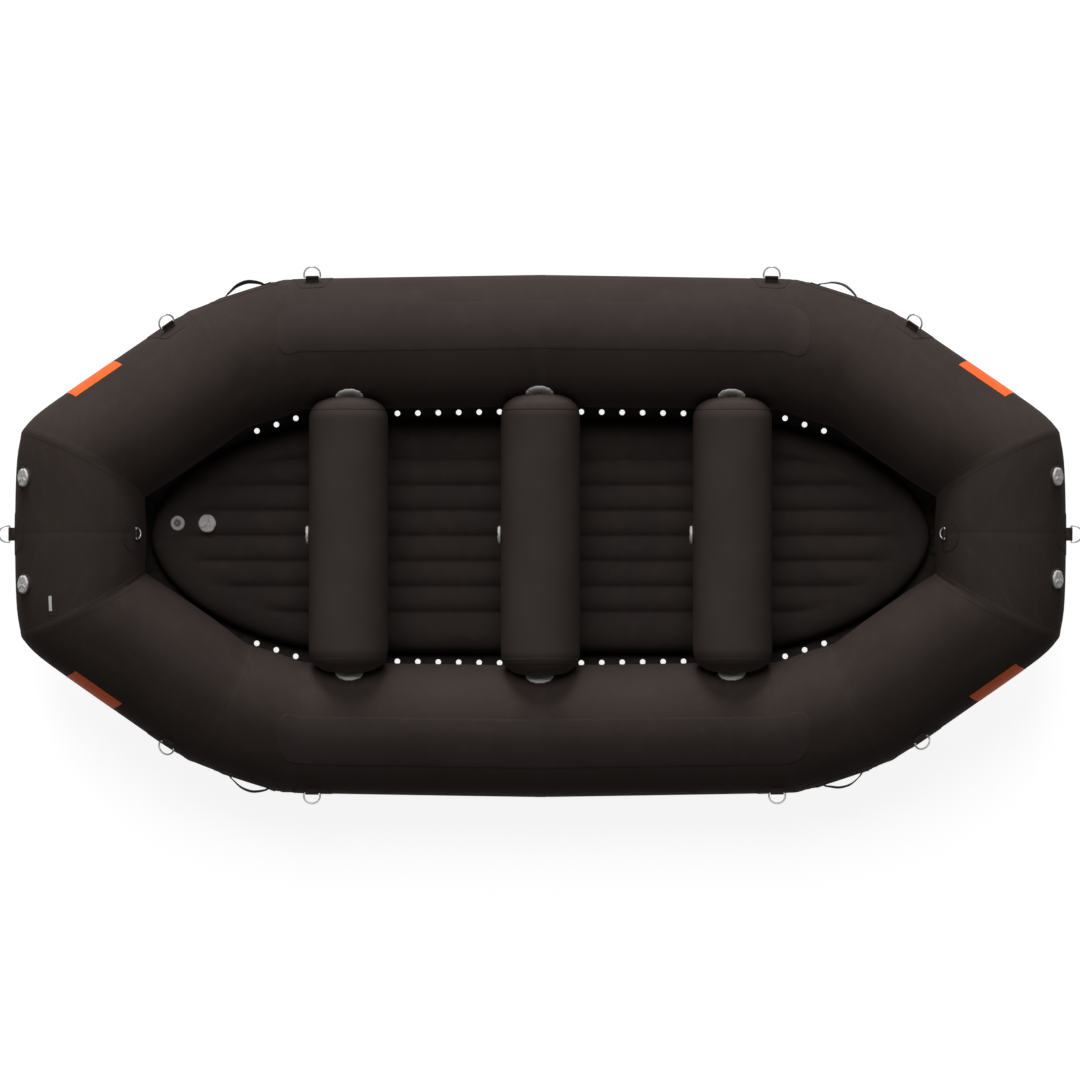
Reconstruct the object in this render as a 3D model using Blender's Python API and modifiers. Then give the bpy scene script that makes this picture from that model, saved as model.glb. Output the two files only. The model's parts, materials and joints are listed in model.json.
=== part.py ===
# Whitewater raft: a ring of four air chambers, a self-bailing floor and three thwarts.
# Metres. +X points to the bow, +Y to port and +Z up. The origin is on the ground under the middle.

import math

import bmesh
import bpy
from mathutils import Matrix, Vector
from mathutils.bvhtree import BVHTree

# Overall sizes
LENGTH = 4.262
BEAM = 2.121
TUBE_DIAMETER = 0.533
END_RISE = 0.20  # how far the rocker lifts the end tubes
SKIN = 0.0015  # coated fabric
FIT = 0.0003  # gap between pieces that touch
OVERRUN = 0.02  # how far a cutter runs past what it cuts
TUBE_SIDES = 32

# Corners of the tube's axis in one quarter, as shares of its half length, half width and rise
AXIS_CORNER_SHARES = (
    (0, 1, 0),
    (0.537, 0.981, 0),
    (0.704, 0.851, 0.25),
    (1, 0.365, 1),
    (1, 0, 1),
)
SIDE, SHOULDER, QUARTER, END = range(len(AXIS_CORNER_SHARES) - 1)
SIGNS = {"port": 1, "starboard": -1, "bow": 1, "stern": -1}
SIDES = ("port", "starboard")

# Baffles between the chambers
BAFFLE_THICKNESS = 0.0012

# Floor
FLOOR_CROWN = 0.060  # half its thickness at the crown of a channel
FLOOR_WEB = 0.0435  # half its thickness at a web
FLOOR_SKIN = 0.0013
FLOOR_PITCH = 0.103
FLOOR_WEBS_EACH_SIDE = 3
FLOOR_TIP_GAP = 0.014  # from the end tube's inner edge, seen from above
FLOOR_EDGE_GAP = 0.056  # from the side tube's inner edge, seen from above
FLOOR_RIM = 0.090  # width of the rolled edge
FLOOR_STRAIGHT_SHARE = 0.4735
FLOOR_RISE_START_SHARE = 0.48
FLOOR_RISE_POWER = 1.6
FLOOR_OUTLINE_POWER = 1.85
FLOOR_STATION_SHARES = (-1, -0.94, -0.87, -0.72, -0.5, 0.5, 0.72, 0.87, 0.94, 1)
FLOOR_CHANNEL_SHARES = (-1, -0.4, 0.4)  # places across a channel, from web to web
FLOOR_ROLL_STEPS = 2
WEB_THICKNESS = 0.0012
WEB_CLEARANCE = 0.0018  # from the floor's outer face at a web to the web's edge
TIE_WIDTH = 0.030
TIE_SHARE = 0.32

# Bailing flap, glued to the lower inboard wall of the tubes
FLAP_ANGLE = 45
FLAP_THICKNESS = 0.0015
HOLE_DIAMETER = 0.024
HOLE_PITCH = 0.0834
HOLE_INSET = 0.0125
HOLES_EACH_WAY = 14
HOLE_SIDES = 6

# Thwarts
THWART_DIAMETER = 0.320
THWART_SIDES = 20
THWART_PITCH = 0.779
THWART_SKIN = 0.0013
THWART_ELEVATION = 33.75  # where its axis meets the side tube's wall, in degrees above level
THWART_DOME = 0.052
THWART_DOME_SHARES = ((0, 1), (0.45, 0.9), (0.8, 0.55), (1, 0))  # radius, depth
DISC_DIAMETER = 0.114
DISC_THICKNESS = 0.010
DISC_SIDES = 20

# Rings and keepers: an outer size and the smaller inner pair at bow and stern
WIRE = 0.006
WIRE_RESOLUTION = 1
RING_ARC_STEPS = 8
PATCH_THICKNESS = 0.0025
KEEPER_WALL = 0.0022
KEEPER_SIDES = 8
KEEPER_ROOT = 0.0008  # how far the keeper sits in its patch
OUTER_RING = {
    "inside": 0.0590,
    "leg": 0.0115,
    "webbing": 0.0530,
    "reach": 0.022,
    "patch_length": 0.170,
    "patch_taper": 0.037,
    "patch_from": -40,
    "patch_to": 11,
}
INNER_RING = {
    "inside": 0.0380,
    "leg": 0.008,
    "webbing": 0.0345,
    "reach": 0.0090,
    "patch_length": 0.146,
    "patch_taper": 0.060,
    "patch_from": -15.5,
    "patch_to": 15.5,
}
# name: ring size, bow or stern, side, stretch of tube, share along it, elevation in degrees
RING_PLACES = {
    "side_bow_port": (OUTER_RING, "bow", "port", SIDE, 0.934, 22.5),
    "side_stern_port": (OUTER_RING, "stern", "port", SIDE, 0.922, 22.5),
    "side_bow_starboard": (OUTER_RING, "bow", "starboard", SIDE, 0.955, 22.5),
    "side_stern_starboard": (OUTER_RING, "stern", "starboard", SIDE, 0.922, 22.5),
    "quarter_bow_port": (OUTER_RING, "bow", "port", QUARTER, 0.136, 22.5),
    "quarter_stern_port": (OUTER_RING, "stern", "port", QUARTER, 0.136, 22.5),
    "quarter_bow_starboard": (OUTER_RING, "bow", "starboard", QUARTER, 0.190, 22.5),
    "quarter_stern_starboard": (OUTER_RING, "stern", "starboard", QUARTER, 0.134, 22.5),
    "bow_outer": (OUTER_RING, "bow", "port", END, 1, 11),
    "stern_outer": (OUTER_RING, "stern", "port", END, 1, 11),
    "bow_inner": (INNER_RING, "bow", "port", END, 1, 146),
    "stern_inner": (INNER_RING, "stern", "port", END, 1, 146),
}

# Carry handles
HANDLE_SPAN = 0.156
HANDLE_HEIGHT = 0.036
HANDLE_WEBBING = 0.038
HANDLE_THICKNESS = 0.003
HANDLE_STEPS = 10
HANDLE_BASE_LENGTH = 0.250
HANDLE_BASE_ANGLE = 8
HANDLE_ROOT = 0.0015  # how far the webbing's ends sit in the base
HANDLE_SHARES = {
    ("bow", "port"): 0.39,
    ("stern", "port"): 0.38,
    ("bow", "starboard"): 0.46,
    ("stern", "starboard"): 0.32,
}

# Inflation valves
VALVE_SIDES = 12
VALVE_FLANGE = 0.066  # diameters
VALVE_BARREL = 0.040
VALVE_BOOT = 0.050
VALVE_SEAT = 0.034
VALVE_STEM = 0.012
VALVE_FLANGE_THICKNESS = 0.004
VALVE_DEPTH = 0.045
VALVE_BOOT_DEPTH = 0.036
VALVE_SEAT_DEPTH = 0.030
VALVE_STEM_TOP = 0.004
CAP_DIAMETER = 0.074
CAP_WALL = 0.0035
CAP_HEIGHT = 0.013
CAP_GRIPS = 3
CAP_GRIP_LENGTH = 0.020
CAP_GRIP_WIDTH = 0.009
CAP_GRIP_HEIGHT = 0.003
VALVE_ELEVATION = 30
# bow or stern, side: share along the end tube
CHAMBER_VALVE_SHARES = {
    ("bow", "port"): 0.205,
    ("stern", "port"): 0.219,
    ("bow", "starboard"): 0.361,
    ("stern", "starboard"): 0.290,
}
FLOOR_VALVE_FROM_TIP = 0.226

# Pressure-relief valve
RELIEF_FROM_TIP = 0.108
RELIEF_FLANGE = 0.060
RELIEF_BARREL = 0.036
RELIEF_BORE = 0.026
RELIEF_BORE_DEPTH = 0.024
RELIEF_DEPTH = 0.030
RELIEF_FLANGE_THICKNESS = 0.005
PLUNGER_DIAMETER = 0.0252
PLUNGER_STEM = 0.010
PLUNGER_TOP = 0.003
PLUNGER_PLATE = 0.004
PLUNGER_TRAVEL = 0.003

RADIUS = TUBE_DIAMETER / 2
HALF_LENGTH = LENGTH / 2 - RADIUS
HALF_BEAM = BEAM / 2 - RADIUS
FLOOR_HALF_LENGTH = HALF_LENGTH - RADIUS - FLOOR_TIP_GAP
FLOOR_HALF_BEAM = HALF_BEAM - RADIUS - FLOOR_EDGE_GAP
FLOOR_STRAIGHT = FLOOR_STRAIGHT_SHARE * FLOOR_HALF_LENGTH
FLOOR_HEIGHT = RADIUS * (1 - math.sin(math.radians(FLAP_ANGLE)))
FLOOR_RISE_START = FLOOR_RISE_START_SHARE * HALF_LENGTH
FLOOR_RISE_REACH = HALF_LENGTH - RADIUS * math.cos(math.radians(FLAP_ANGLE))
CHANNEL_Y = FLOOR_PITCH / 2  # the floor's valves stand on the first channel to port


# Scene, collections and materials
for old in list(bpy.data.objects):
    bpy.data.objects.remove(old)
parts = bpy.data.collections.new("whitewater_raft")
cutters = bpy.data.collections.new("cutters")
for group in (parts, cutters):
    bpy.context.scene.collection.children.link(group)


def make_material(name, colour, roughness, metallic=0.0):
    material = bpy.data.materials.new(name)
    material.use_nodes = True
    shader = material.node_tree.nodes["Principled BSDF"]
    shader.inputs["Base Color"].default_value = (*colour, 1)
    shader.inputs["Roughness"].default_value = roughness
    shader.inputs["Metallic"].default_value = metallic
    return material


HULL_FABRIC = make_material("hull_fabric", (0.060, 0.050, 0.047), 0.62)
BAFFLE_FABRIC = make_material("baffle_fabric", (0.20, 0.19, 0.18), 0.7)
FLOOR_FABRIC = make_material("floor_fabric", (0.045, 0.040, 0.038), 0.66)
FLAP_FABRIC = make_material("flap_fabric", (0.020, 0.019, 0.018), 0.75)
THWART_FABRIC = make_material("thwart_fabric", (0.052, 0.045, 0.042), 0.6)
WEBBING = make_material("webbing", (0.010, 0.010, 0.011), 0.85)
PATCH_FABRIC = make_material("patch_fabric", (0.050, 0.042, 0.040), 0.62)
STEEL = make_material("steel", (0.62, 0.62, 0.60), 0.22, 1.0)
VALVE_PLASTIC = make_material("valve_plastic", (0.42, 0.42, 0.41), 0.45)
DARK_PLASTIC = make_material("dark_plastic", (0.03, 0.03, 0.032), 0.5)


# Mesh helpers
def add_object(name, mesh, material, group=parts):
    obj = bpy.data.objects.new(name, mesh)
    group.objects.link(obj)
    if group is cutters:
        obj.hide_render = True
        obj.display_type = "WIRE"
    else:
        mesh.materials.clear()
        mesh.materials.append(material)
        mesh.shade_smooth()
        mesh.set_sharp_from_angle(angle=math.radians(30))
    return obj


def mesh_from(bm, name):
    mesh = bpy.data.meshes.new(name)
    bm.to_mesh(mesh)
    bm.free()
    return mesh


def evaluated(obj):
    """The object's mesh with its modifiers applied, in world space."""
    graph = bpy.context.evaluated_depsgraph_get()
    mesh = bpy.data.meshes.new_from_object(obj.evaluated_get(graph))
    mesh.transform(obj.matrix_world)
    return mesh


def welded(mesh):
    bm = bmesh.new()
    bm.from_mesh(mesh)
    bmesh.ops.remove_doubles(bm, verts=bm.verts, dist=FIT / 10)
    bmesh.ops.recalc_face_normals(bm, faces=bm.faces)
    bm.to_mesh(mesh)
    bm.free()
    return mesh


def loft(bm, rings, closed=True):
    """Faces between rings of vertices. A ring runs from outboard to up, and rings follow the tube."""
    for ring, following in zip(rings, rings[1:]):
        for i in range(len(ring) if closed else len(ring) - 1):
            j = (i + 1) % len(ring)
            bm.faces.new((ring[i], ring[j], following[j], following[i]))


def thicken(obj, thickness, outward=False):
    modifier = obj.modifiers.new("skin", "SOLIDIFY")
    modifier.thickness = thickness
    modifier.offset = 1 if outward else -1
    modifier.use_even_offset = True


def combine(obj, operand, operation="DIFFERENCE"):
    modifier = obj.modifiers.new(operand.name, "BOOLEAN")
    modifier.operation = operation
    modifier.object = operand
    modifier.solver = "EXACT"


def cylinder_cutter(name, matrix, radius, bottom, top, sides):
    """A cylinder along the matrix's Z axis, from bottom to top."""
    bm = bmesh.new()
    middle = Matrix.Translation((0, 0, (bottom + top) / 2))
    bmesh.ops.create_cone(
        bm, cap_ends=True, segments=sides, radius1=radius, radius2=radius, depth=top - bottom, matrix=middle
    )
    obj = add_object(name, mesh_from(bm, name), None, cutters)
    obj.matrix_world = matrix
    return obj


def turned(name, profile, sides, merge=FIT / 10):
    """A closed mesh turned about Z from (radius, height) points that run down the outer side."""
    bm = bmesh.new()
    points = [bm.verts.new((radius, 0, height)) for radius, height in profile]
    for a, b in zip(points, points[1:]):
        bm.edges.new((a, b))
    obj = add_object(name + "_profile", mesh_from(bm, name + "_profile"), None, cutters)
    modifier = obj.modifiers.new("turn", "SCREW")
    modifier.steps = sides
    modifier.render_steps = sides
    modifier.use_merge_vertices = True
    modifier.merge_threshold = merge
    modifier.use_normal_calculate = True
    mesh = welded(evaluated(obj))
    mesh.name = name
    bpy.data.objects.remove(obj)
    return mesh


def curve_mesh(name, points, bevel=0.0, resolution=0, extrude=0.0, holes=()):
    """A closed wire with a bevel, or a filled flat outline with an extrude, made into a mesh."""
    curve = bpy.data.curves.new(name, "CURVE")
    curve.dimensions = "2D" if extrude else "3D"
    curve.fill_mode = "BOTH" if extrude else "FULL"
    curve.bevel_depth = bevel
    curve.bevel_resolution = resolution
    curve.extrude = extrude
    for outline in (points, *holes):
        spline = curve.splines.new("POLY")
        spline.points.add(len(outline) - 1)
        for point, place in zip(spline.points, outline):
            point.co = (*place, 1)
        spline.use_cyclic_u = True
    obj = bpy.data.objects.new(name, curve)
    cutters.objects.link(obj)
    mesh = welded(evaluated(obj))
    bpy.data.objects.remove(obj)
    return mesh


# Tube geometry, for the port bow quarter
def tube_stretches():
    """Start, direction, outward and up for each straight stretch, the last two carried round each mitre."""
    corners = [
        Vector((x * HALF_LENGTH, y * HALF_BEAM, RADIUS + z * END_RISE)) for x, y, z in AXIS_CORNER_SHARES
    ]
    stretches = []
    for start, finish in zip(corners, corners[1:]):
        direction = (finish - start).normalized()
        if stretches:
            turn = stretches[-1][1].rotation_difference(direction)
            outward, up = turn @ stretches[-1][2], turn @ stretches[-1][3]
        else:
            up = Vector((0, 0, 1))
            outward = up.cross(direction)
        stretches.append((start, direction, outward, up))
    return corners, stretches


CORNERS, STRETCHES = tube_stretches()
FACET = 360 / TUBE_SIDES


def lengths():
    return [(finish - start).length for start, finish in zip(CORNERS, CORNERS[1:])]


LENGTHS = lengths()


def mirrored(point, end, side):
    return Vector((point.x * SIGNS[end], point.y * SIGNS[side], point.z))


def radial(stretch, angle):
    _, _, outward, up = STRETCHES[stretch]
    return math.cos(math.radians(angle)) * outward + math.sin(math.radians(angle)) * up


def wall_radius(angle, radius=RADIUS):
    """Distance from the axis to the faceted wall, whose flats are radius away."""
    off_centre = (angle + FACET / 2) % FACET - FACET / 2
    return radius / math.cos(math.radians(off_centre))


def wall_point(stretch, distance, angle, lift=0.0):
    start, direction, _, _ = STRETCHES[stretch]
    return start + direction * distance + radial(stretch, angle) * (wall_radius(angle) + lift)


def facet_angle(stretch, elevation):
    """The flat nearest to an elevation above level, counted from outboard over the top."""
    _, direction, outward, up = STRETCHES[stretch]
    level = Vector((0, 0, 1)).cross(direction).normalized()
    roll = math.degrees(math.atan2(level.dot(up), level.dot(outward)))
    return round((elevation + roll) / FACET) * FACET


def ring_points(stretch, plane_point, plane_normal, radius):
    """Where the stretch's corner lines meet a plane."""
    start, direction, _, _ = STRETCHES[stretch]
    points = []
    for i in range(TUBE_SIDES):
        angle = (i + 0.5) * FACET
        foot = start + radial(stretch, angle) * wall_radius(angle, radius)
        along = (plane_point - foot).dot(plane_normal) / direction.dot(plane_normal)
        points.append(foot + direction * along)
    return points


def chamber_rings(radius, gap):
    """Rings of one quarter, from amidships to the middle of the bow, kept gap away from both planes."""
    amidships, end = Vector((1, 0, 0)), Vector((0, -1, 0))
    rings = [ring_points(SIDE, Vector((gap, 0, 0)), amidships, radius)]
    for stretch in (SIDE, SHOULDER, QUARTER):
        mitre = STRETCHES[stretch][1] + STRETCHES[stretch + 1][1]
        rings.append(ring_points(stretch, CORNERS[stretch + 1], mitre.normalized(), radius))
    rings.append(ring_points(END, Vector((0, gap, 0)), end, radius))
    return rings


def tube_mesh(name, rings, end, side, capped):
    bm = bmesh.new()
    rows = [[bm.verts.new(mirrored(point, end, side)) for point in ring] for ring in rings]
    loft(bm, rows)
    if capped:
        bm.faces.new(reversed(rows[-1]))
        bm.faces.new(rows[0])
        bmesh.ops.recalc_face_normals(bm, faces=bm.faces)
    elif SIGNS[end] * SIGNS[side] < 0:
        bmesh.ops.reverse_faces(bm, faces=bm.faces)
    return mesh_from(bm, name)


def seat(stretch, distance, angle, end, side):
    """A matrix on the wall: X along the tube, Z out of the wall."""
    origin = mirrored(wall_point(stretch, distance, angle), end, side)
    along = mirrored(STRETCHES[stretch][1], end, side)
    normal = mirrored(radial(stretch, angle), end, side)
    return axes_matrix(origin, along, normal)


def axes_matrix(origin, along, normal):
    across = normal.cross(along).normalized()
    along = across.cross(normal).normalized()
    matrix = Matrix((along, across, normal.normalized())).transposed().to_4x4()
    matrix.translation = origin
    return matrix


def wall_sheet(name, stretch, distance, angle, low, high, half_length_at, thickness, end, side, material):
    """A patch that lies on the wall between two angles, with a half length for each angle."""
    corner_angles = [(k + 0.5) * FACET for k in range(-TUBE_SIDES, TUBE_SIDES)]
    inside = [a for a in corner_angles if angle + low < a < angle + high]
    bm = bmesh.new()
    rows = []
    for a in [angle + low, *inside, angle + high]:
        half = half_length_at((a - angle - low) / (high - low))
        places = [wall_point(stretch, distance + s * half, a, FIT) for s in (-1, 1)]
        rows.append([bm.verts.new(mirrored(place, end, side)) for place in places])
    loft(bm, rows, closed=False)
    bmesh.ops.recalc_face_normals(bm, faces=bm.faces)
    out = mirrored(radial(stretch, angle), end, side)
    if sum((face.normal for face in bm.faces), Vector()).dot(out) < 0:
        bmesh.ops.reverse_faces(bm, faces=bm.faces)
    obj = add_object(name, mesh_from(bm, name), material)
    thicken(obj, thickness, outward=True)
    return obj


# Hull
def make_chamber(end, side):
    gap = BAFFLE_THICKNESS / 2 + FIT
    name = f"chamber_{side}_{end}"
    mesh = tube_mesh(name, chamber_rings(RADIUS, gap), end, side, capped=False)
    obj = add_object(name, mesh, HULL_FABRIC)
    thicken(obj, SKIN)
    return obj


def make_baffle(name, plane_axis, sign):
    """A diaphragm across the tube, between the ends of two chambers."""
    half = BAFFLE_THICKNESS / 2
    stretch = SIDE if plane_axis == 0 else END
    plane = Vector((1, 0, 0)) if plane_axis == 0 else Vector((0, 1, 0))
    points = ring_points(stretch, Vector(), plane, RADIUS)
    bm = bmesh.new()
    rows = []
    for offset in (half, -half):
        row = []
        for point in points:
            place = point.copy()
            place[plane_axis] = offset
            place[1 - plane_axis] *= sign
            row.append(bm.verts.new(place))
        rows.append(row)
    loft(bm, rows)
    bm.faces.new(rows[0])
    bm.faces.new(reversed(rows[1]))
    bmesh.ops.recalc_face_normals(bm, faces=bm.faces)
    return add_object(name, mesh_from(bm, name), BAFFLE_FABRIC)


def side_tube_cutter(side, radius):
    """The solid outer shape of one side tube, for what seats against it."""
    amidships, ahead = chamber_rings(radius, 0)[:2]
    astern = [Vector((-point.x, point.y, point.z)) for point in ahead]
    name = f"{side}_tube_{radius:.4f}"
    mesh = tube_mesh(name, [astern, amidships, ahead], "bow", side, capped=True)
    return add_object(name, mesh, None, cutters)


# Floor
def floor_rise(x):
    share = max(0, (abs(x) - FLOOR_RISE_START) / (FLOOR_RISE_REACH - FLOOR_RISE_START))
    return END_RISE * share**FLOOR_RISE_POWER


def outline_point(turn, inset):
    """A point on the floor's bow half outline, from port (turn 90) to the tip (0) to starboard (-90)."""
    power = 2 / FLOOR_OUTLINE_POWER
    cosine, sine = math.cos(math.radians(turn)), math.sin(math.radians(turn))
    x = FLOOR_STRAIGHT + (FLOOR_HALF_LENGTH - FLOOR_STRAIGHT - inset) * max(cosine, 0) ** power
    y = (FLOOR_HALF_BEAM - inset) * abs(sine) ** power
    return x, math.copysign(y, sine)


def turn_at(y, inset):
    share = min(1, abs(y) / (FLOOR_HALF_BEAM - inset))
    return math.copysign(math.degrees(math.asin(share ** (FLOOR_OUTLINE_POWER / 2))), y)


def floor_columns():
    """Distances from the middle line to port, and how deep the channel's valley is there."""
    webs = range(-FLOOR_WEBS_EACH_SIDE, FLOOR_WEBS_EACH_SIDE)
    columns = [
        ((web + (1 + share) / 2) * FLOOR_PITCH, share * share) for web in webs for share in FLOOR_CHANNEL_SHARES
    ]
    last_web = FLOOR_WEBS_EACH_SIDE * FLOOR_PITCH
    core = FLOOR_HALF_BEAM - FLOOR_RIM
    middle = (last_web + core) / 2
    outer = [(last_web, 1), (middle, FLOOR_CHANNEL_SHARES[1] ** 2), (core, 0)]
    return [(-y, valley) for y, valley in outer[:0:-1]] + columns + outer


def floor_top_mesh():
    """The upper half of the floor, open at its middle plane."""
    bm = bmesh.new()
    core_rows = []
    columns = floor_columns()
    for station in FLOOR_STATION_SHARES:
        fade = 0 if abs(station) == 1 else 1
        row = []
        for y, valley in columns:
            reach, _ = outline_point(turn_at(y, FLOOR_RIM), FLOOR_RIM)
            height = FLOOR_CROWN - (FLOOR_CROWN - FLOOR_WEB) * valley * fade
            row.append(bm.verts.new((station * reach, y, height)))
        core_rows.append(row)
    loft(bm, core_rows, closed=False)
    edge = core_rows[0] + [row[-1] for row in core_rows[1:]]
    edge += core_rows[-1][-2::-1] + [row[0] for row in core_rows[-2:0:-1]]
    rings = [edge]
    for step in range(FLOOR_ROLL_STEPS - 1, -1, -1):
        roll = math.pi / 2 * step / FLOOR_ROLL_STEPS
        inset = FLOOR_RIM * (1 - math.cos(roll))
        ring = []
        for vert in edge:
            turn = turn_at(vert.co.y, FLOOR_RIM)
            x, y = outline_point(turn, inset)
            if abs(vert.co.x) < FLOOR_STRAIGHT:
                x = abs(vert.co.x)
            ring.append(bm.verts.new((math.copysign(x, vert.co.x), y, FLOOR_CROWN * math.sin(roll))))
        rings.append(ring)
    loft(bm, rings)
    bmesh.ops.recalc_face_normals(bm, faces=bm.faces)
    return mesh_from(bm, "floor_top")


def lifted(mesh):
    """The mesh set at the floor's height and bent up with the rocker."""
    bm = bmesh.new()
    bm.from_mesh(mesh)
    bmesh.ops.triangulate(bm, faces=bm.faces)
    for vert in bm.verts:
        vert.co.z += FLOOR_HEIGHT + floor_rise(vert.co.x)
    bmesh.ops.recalc_face_normals(bm, faces=bm.faces)
    bm.to_mesh(mesh)
    bm.free()
    return mesh


def make_floor():
    half = add_object("floor_half", floor_top_mesh(), None, cutters)
    mirror = half.modifiers.new("underside", "MIRROR")
    mirror.use_axis = (False, False, True)
    mirror.use_clip = True
    mirror.merge_threshold = FIT / 10
    mesh = lifted(welded(evaluated(half)))
    bpy.data.objects.remove(half)
    surface = bmesh.new()
    surface.from_mesh(mesh)
    seats = BVHTree.FromBMesh(surface)
    surface.free()
    obj = add_object("floor_skin", mesh, FLOOR_FABRIC)
    thicken(obj, FLOOR_SKIN)
    return obj, seats


def floor_seat(seats, from_tip):
    """A matrix on the floor's top, on the first channel to port, ahead of the stern tip."""
    x = from_tip - FLOOR_HALF_LENGTH
    place, normal, _, _ = seats.ray_cast(Vector((x, CHANNEL_Y, TUBE_DIAMETER)), Vector((0, 0, -1)))
    return axes_matrix(place, Vector((1, 0, 0)), normal)


def box_mesh(name, low, high, stations):
    """A box with cuts across X at the stations, so that it can bend."""
    bm = bmesh.new()
    rows = []
    for x in stations:
        places = ((low[0], low[1]), (high[0], low[1]), (high[0], high[1]), (low[0], high[1]))
        rows.append([bm.verts.new((x, y, z)) for y, z in places])
    loft(bm, rows)
    bm.faces.new(rows[0])
    bm.faces.new(reversed(rows[-1]))
    bmesh.ops.recalc_face_normals(bm, faces=bm.faces)
    return lifted(mesh_from(bm, name))


def make_floor_webs():
    """The I-beam webs that hold the channels' height, tied across at two places."""
    half_height = FLOOR_WEB - WEB_CLEARANCE
    half = WEB_THICKNESS / 2
    webs = []
    for number in range(-FLOOR_WEBS_EACH_SIDE, FLOOR_WEBS_EACH_SIDE + 1):
        y = number * FLOOR_PITCH
        reach, _ = outline_point(turn_at(y, FLOOR_RIM), FLOOR_RIM)
        bends = [share * reach for share in FLOOR_STATION_SHARES[1:-1]]
        webs.append(box_mesh("web", (y - half, -half_height), (y + half, half_height), bends))
    obj = add_object("floor_i_beams", webs.pop(), BAFFLE_FABRIC)
    last = FLOOR_WEBS_EACH_SIDE * FLOOR_PITCH + half
    for sign in (-1, 1):
        x = sign * TIE_SHARE * FLOOR_HALF_LENGTH
        span = (x - TIE_WIDTH / 2, x + TIE_WIDTH / 2)
        tie = box_mesh("tie", (half - last, -half), (last - half, half), span)
        combine(obj, add_object(f"tie_{sign}", tie, None, cutters), "UNION")
    for mesh in webs:
        combine(obj, add_object("web_beside", mesh, None, cutters), "UNION")
    return obj


def flap_line():
    """The glue line on the tubes' lower inboard wall, from port amidships to starboard amidships."""
    line = []
    angle = 180 + FLAP_ANGLE
    for stretch in range(len(STRETCHES)):
        start, direction, _, _ = STRETCHES[stretch]
        foot = start + radial(stretch, angle) * (RADIUS + FIT)
        if stretch == SIDE:
            line.append(foot - direction * (foot.x / direction.x))
        else:
            mitre = (direction + STRETCHES[stretch - 1][1]).normalized()
            along = (CORNERS[stretch] - foot).dot(mitre) / direction.dot(mitre)
            line.append(foot + direction * along)
    line.append(line[-1] - STRETCHES[END][1] * (line[-1].y / STRETCHES[END][1].y))
    return line + [Vector((p.x, -p.y, p.z)) for p in line[-2::-1]]


def meet(start, direction, line):
    """Where a level ray first meets the line, seen from above."""
    for a, b in zip(line, line[1:]):
        run = b - a
        cross = direction.x * run.y - direction.y * run.x
        if abs(cross) < FIT * FIT:
            continue
        reach = ((a.x - start.x) * run.y - (a.y - start.y) * run.x) / cross
        share = ((a.x - start.x) * direction.y - (a.y - start.y) * direction.x) / cross
        if reach > 0 and -FIT <= share <= 1 + FIT:
            return a + run * share
    return None


def make_flap():
    """The perforated strip that joins the floor's edge to the tubes."""
    line = flap_line()
    turns = [turn_at(y, FLOOR_RIM) for y, _ in reversed(floor_columns())]
    inner, outer = [], []
    for turn in turns:
        x, y = outline_point(turn, -FIT)
        ahead, behind = outline_point(min(turn + 1, 90), -FIT), outline_point(max(turn - 1, -90), -FIT)
        across = Vector((ahead[1] - behind[1], behind[0] - ahead[0], 0))
        start = Vector((x, y, 0))
        inner.append(Vector((x, y, FLOOR_HEIGHT + floor_rise(x))))
        outer.append(meet(start, across, line))
    bm = bmesh.new()
    rows = []
    for sign in (1, -1):
        pairs = list(zip(inner, outer)) if sign > 0 else list(zip(inner, outer))[::-1]
        for place, glued in pairs:
            rows.append([bm.verts.new((p.x * sign, p.y, p.z)) for p in (place, glued)])
    rows.append(rows[0])
    loft(bm, rows, closed=False)
    bmesh.ops.triangulate(bm, faces=bm.faces)
    bmesh.ops.recalc_face_normals(bm, faces=bm.faces)
    obj = add_object("bailing_flap", mesh_from(bm, "bailing_flap"), FLAP_FABRIC)
    thicken(obj, FLAP_THICKNESS)
    combine(obj, bailing_hole_cutter())
    return obj


def hole_places():
    """Bailing holes from amidships to the shoulder, just inside the tube's inner edge seen from above."""
    offset = RADIUS + HOLE_INSET
    (side_start, ahead, _, _), (corner, bent, _, _) = STRETCHES[SIDE], STRETCHES[SHOULDER]
    bent = Vector((bent.x, bent.y, 0)).normalized()
    mitre = offset * math.tan(ahead.angle(bent) / 2)
    begin = side_start + Vector((ahead.y, -ahead.x, 0)) * offset
    begin -= ahead * (begin.x / ahead.x)
    kink = corner + Vector((bent.y, -bent.x, 0)) * offset + bent * mitre
    straight = (kink - begin).length
    holes = []
    for number in range(-HOLES_EACH_WAY, HOLES_EACH_WAY + 1):
        distance = abs(number) * HOLE_PITCH
        place = begin + ahead * distance if distance < straight else kink + bent * (distance - straight)
        holes.append((math.copysign(place.x, number), place.y))
    return holes


def bailing_hole_cutter():
    bm = bmesh.new()
    depth = TUBE_DIAMETER / 2
    for x, y in hole_places():
        for side in (1, -1):
            matrix = Matrix.Translation((x, y * side, FLOOR_HEIGHT))
            bmesh.ops.create_cone(
                bm, cap_ends=True, segments=HOLE_SIDES, radius1=HOLE_DIAMETER / 2, radius2=HOLE_DIAMETER / 2,
                depth=depth, matrix=matrix,
            )
    return add_object("bailing_holes", mesh_from(bm, "bailing_holes"), None, cutters)


# Thwarts
THWART_HEIGHT = RADIUS * (1 + math.sin(math.radians(THWART_ELEVATION)))


def side_axis_y(x):
    start, direction, _, _ = STRETCHES[SIDE]
    return start.y + direction.y / direction.x * abs(x)


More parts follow.
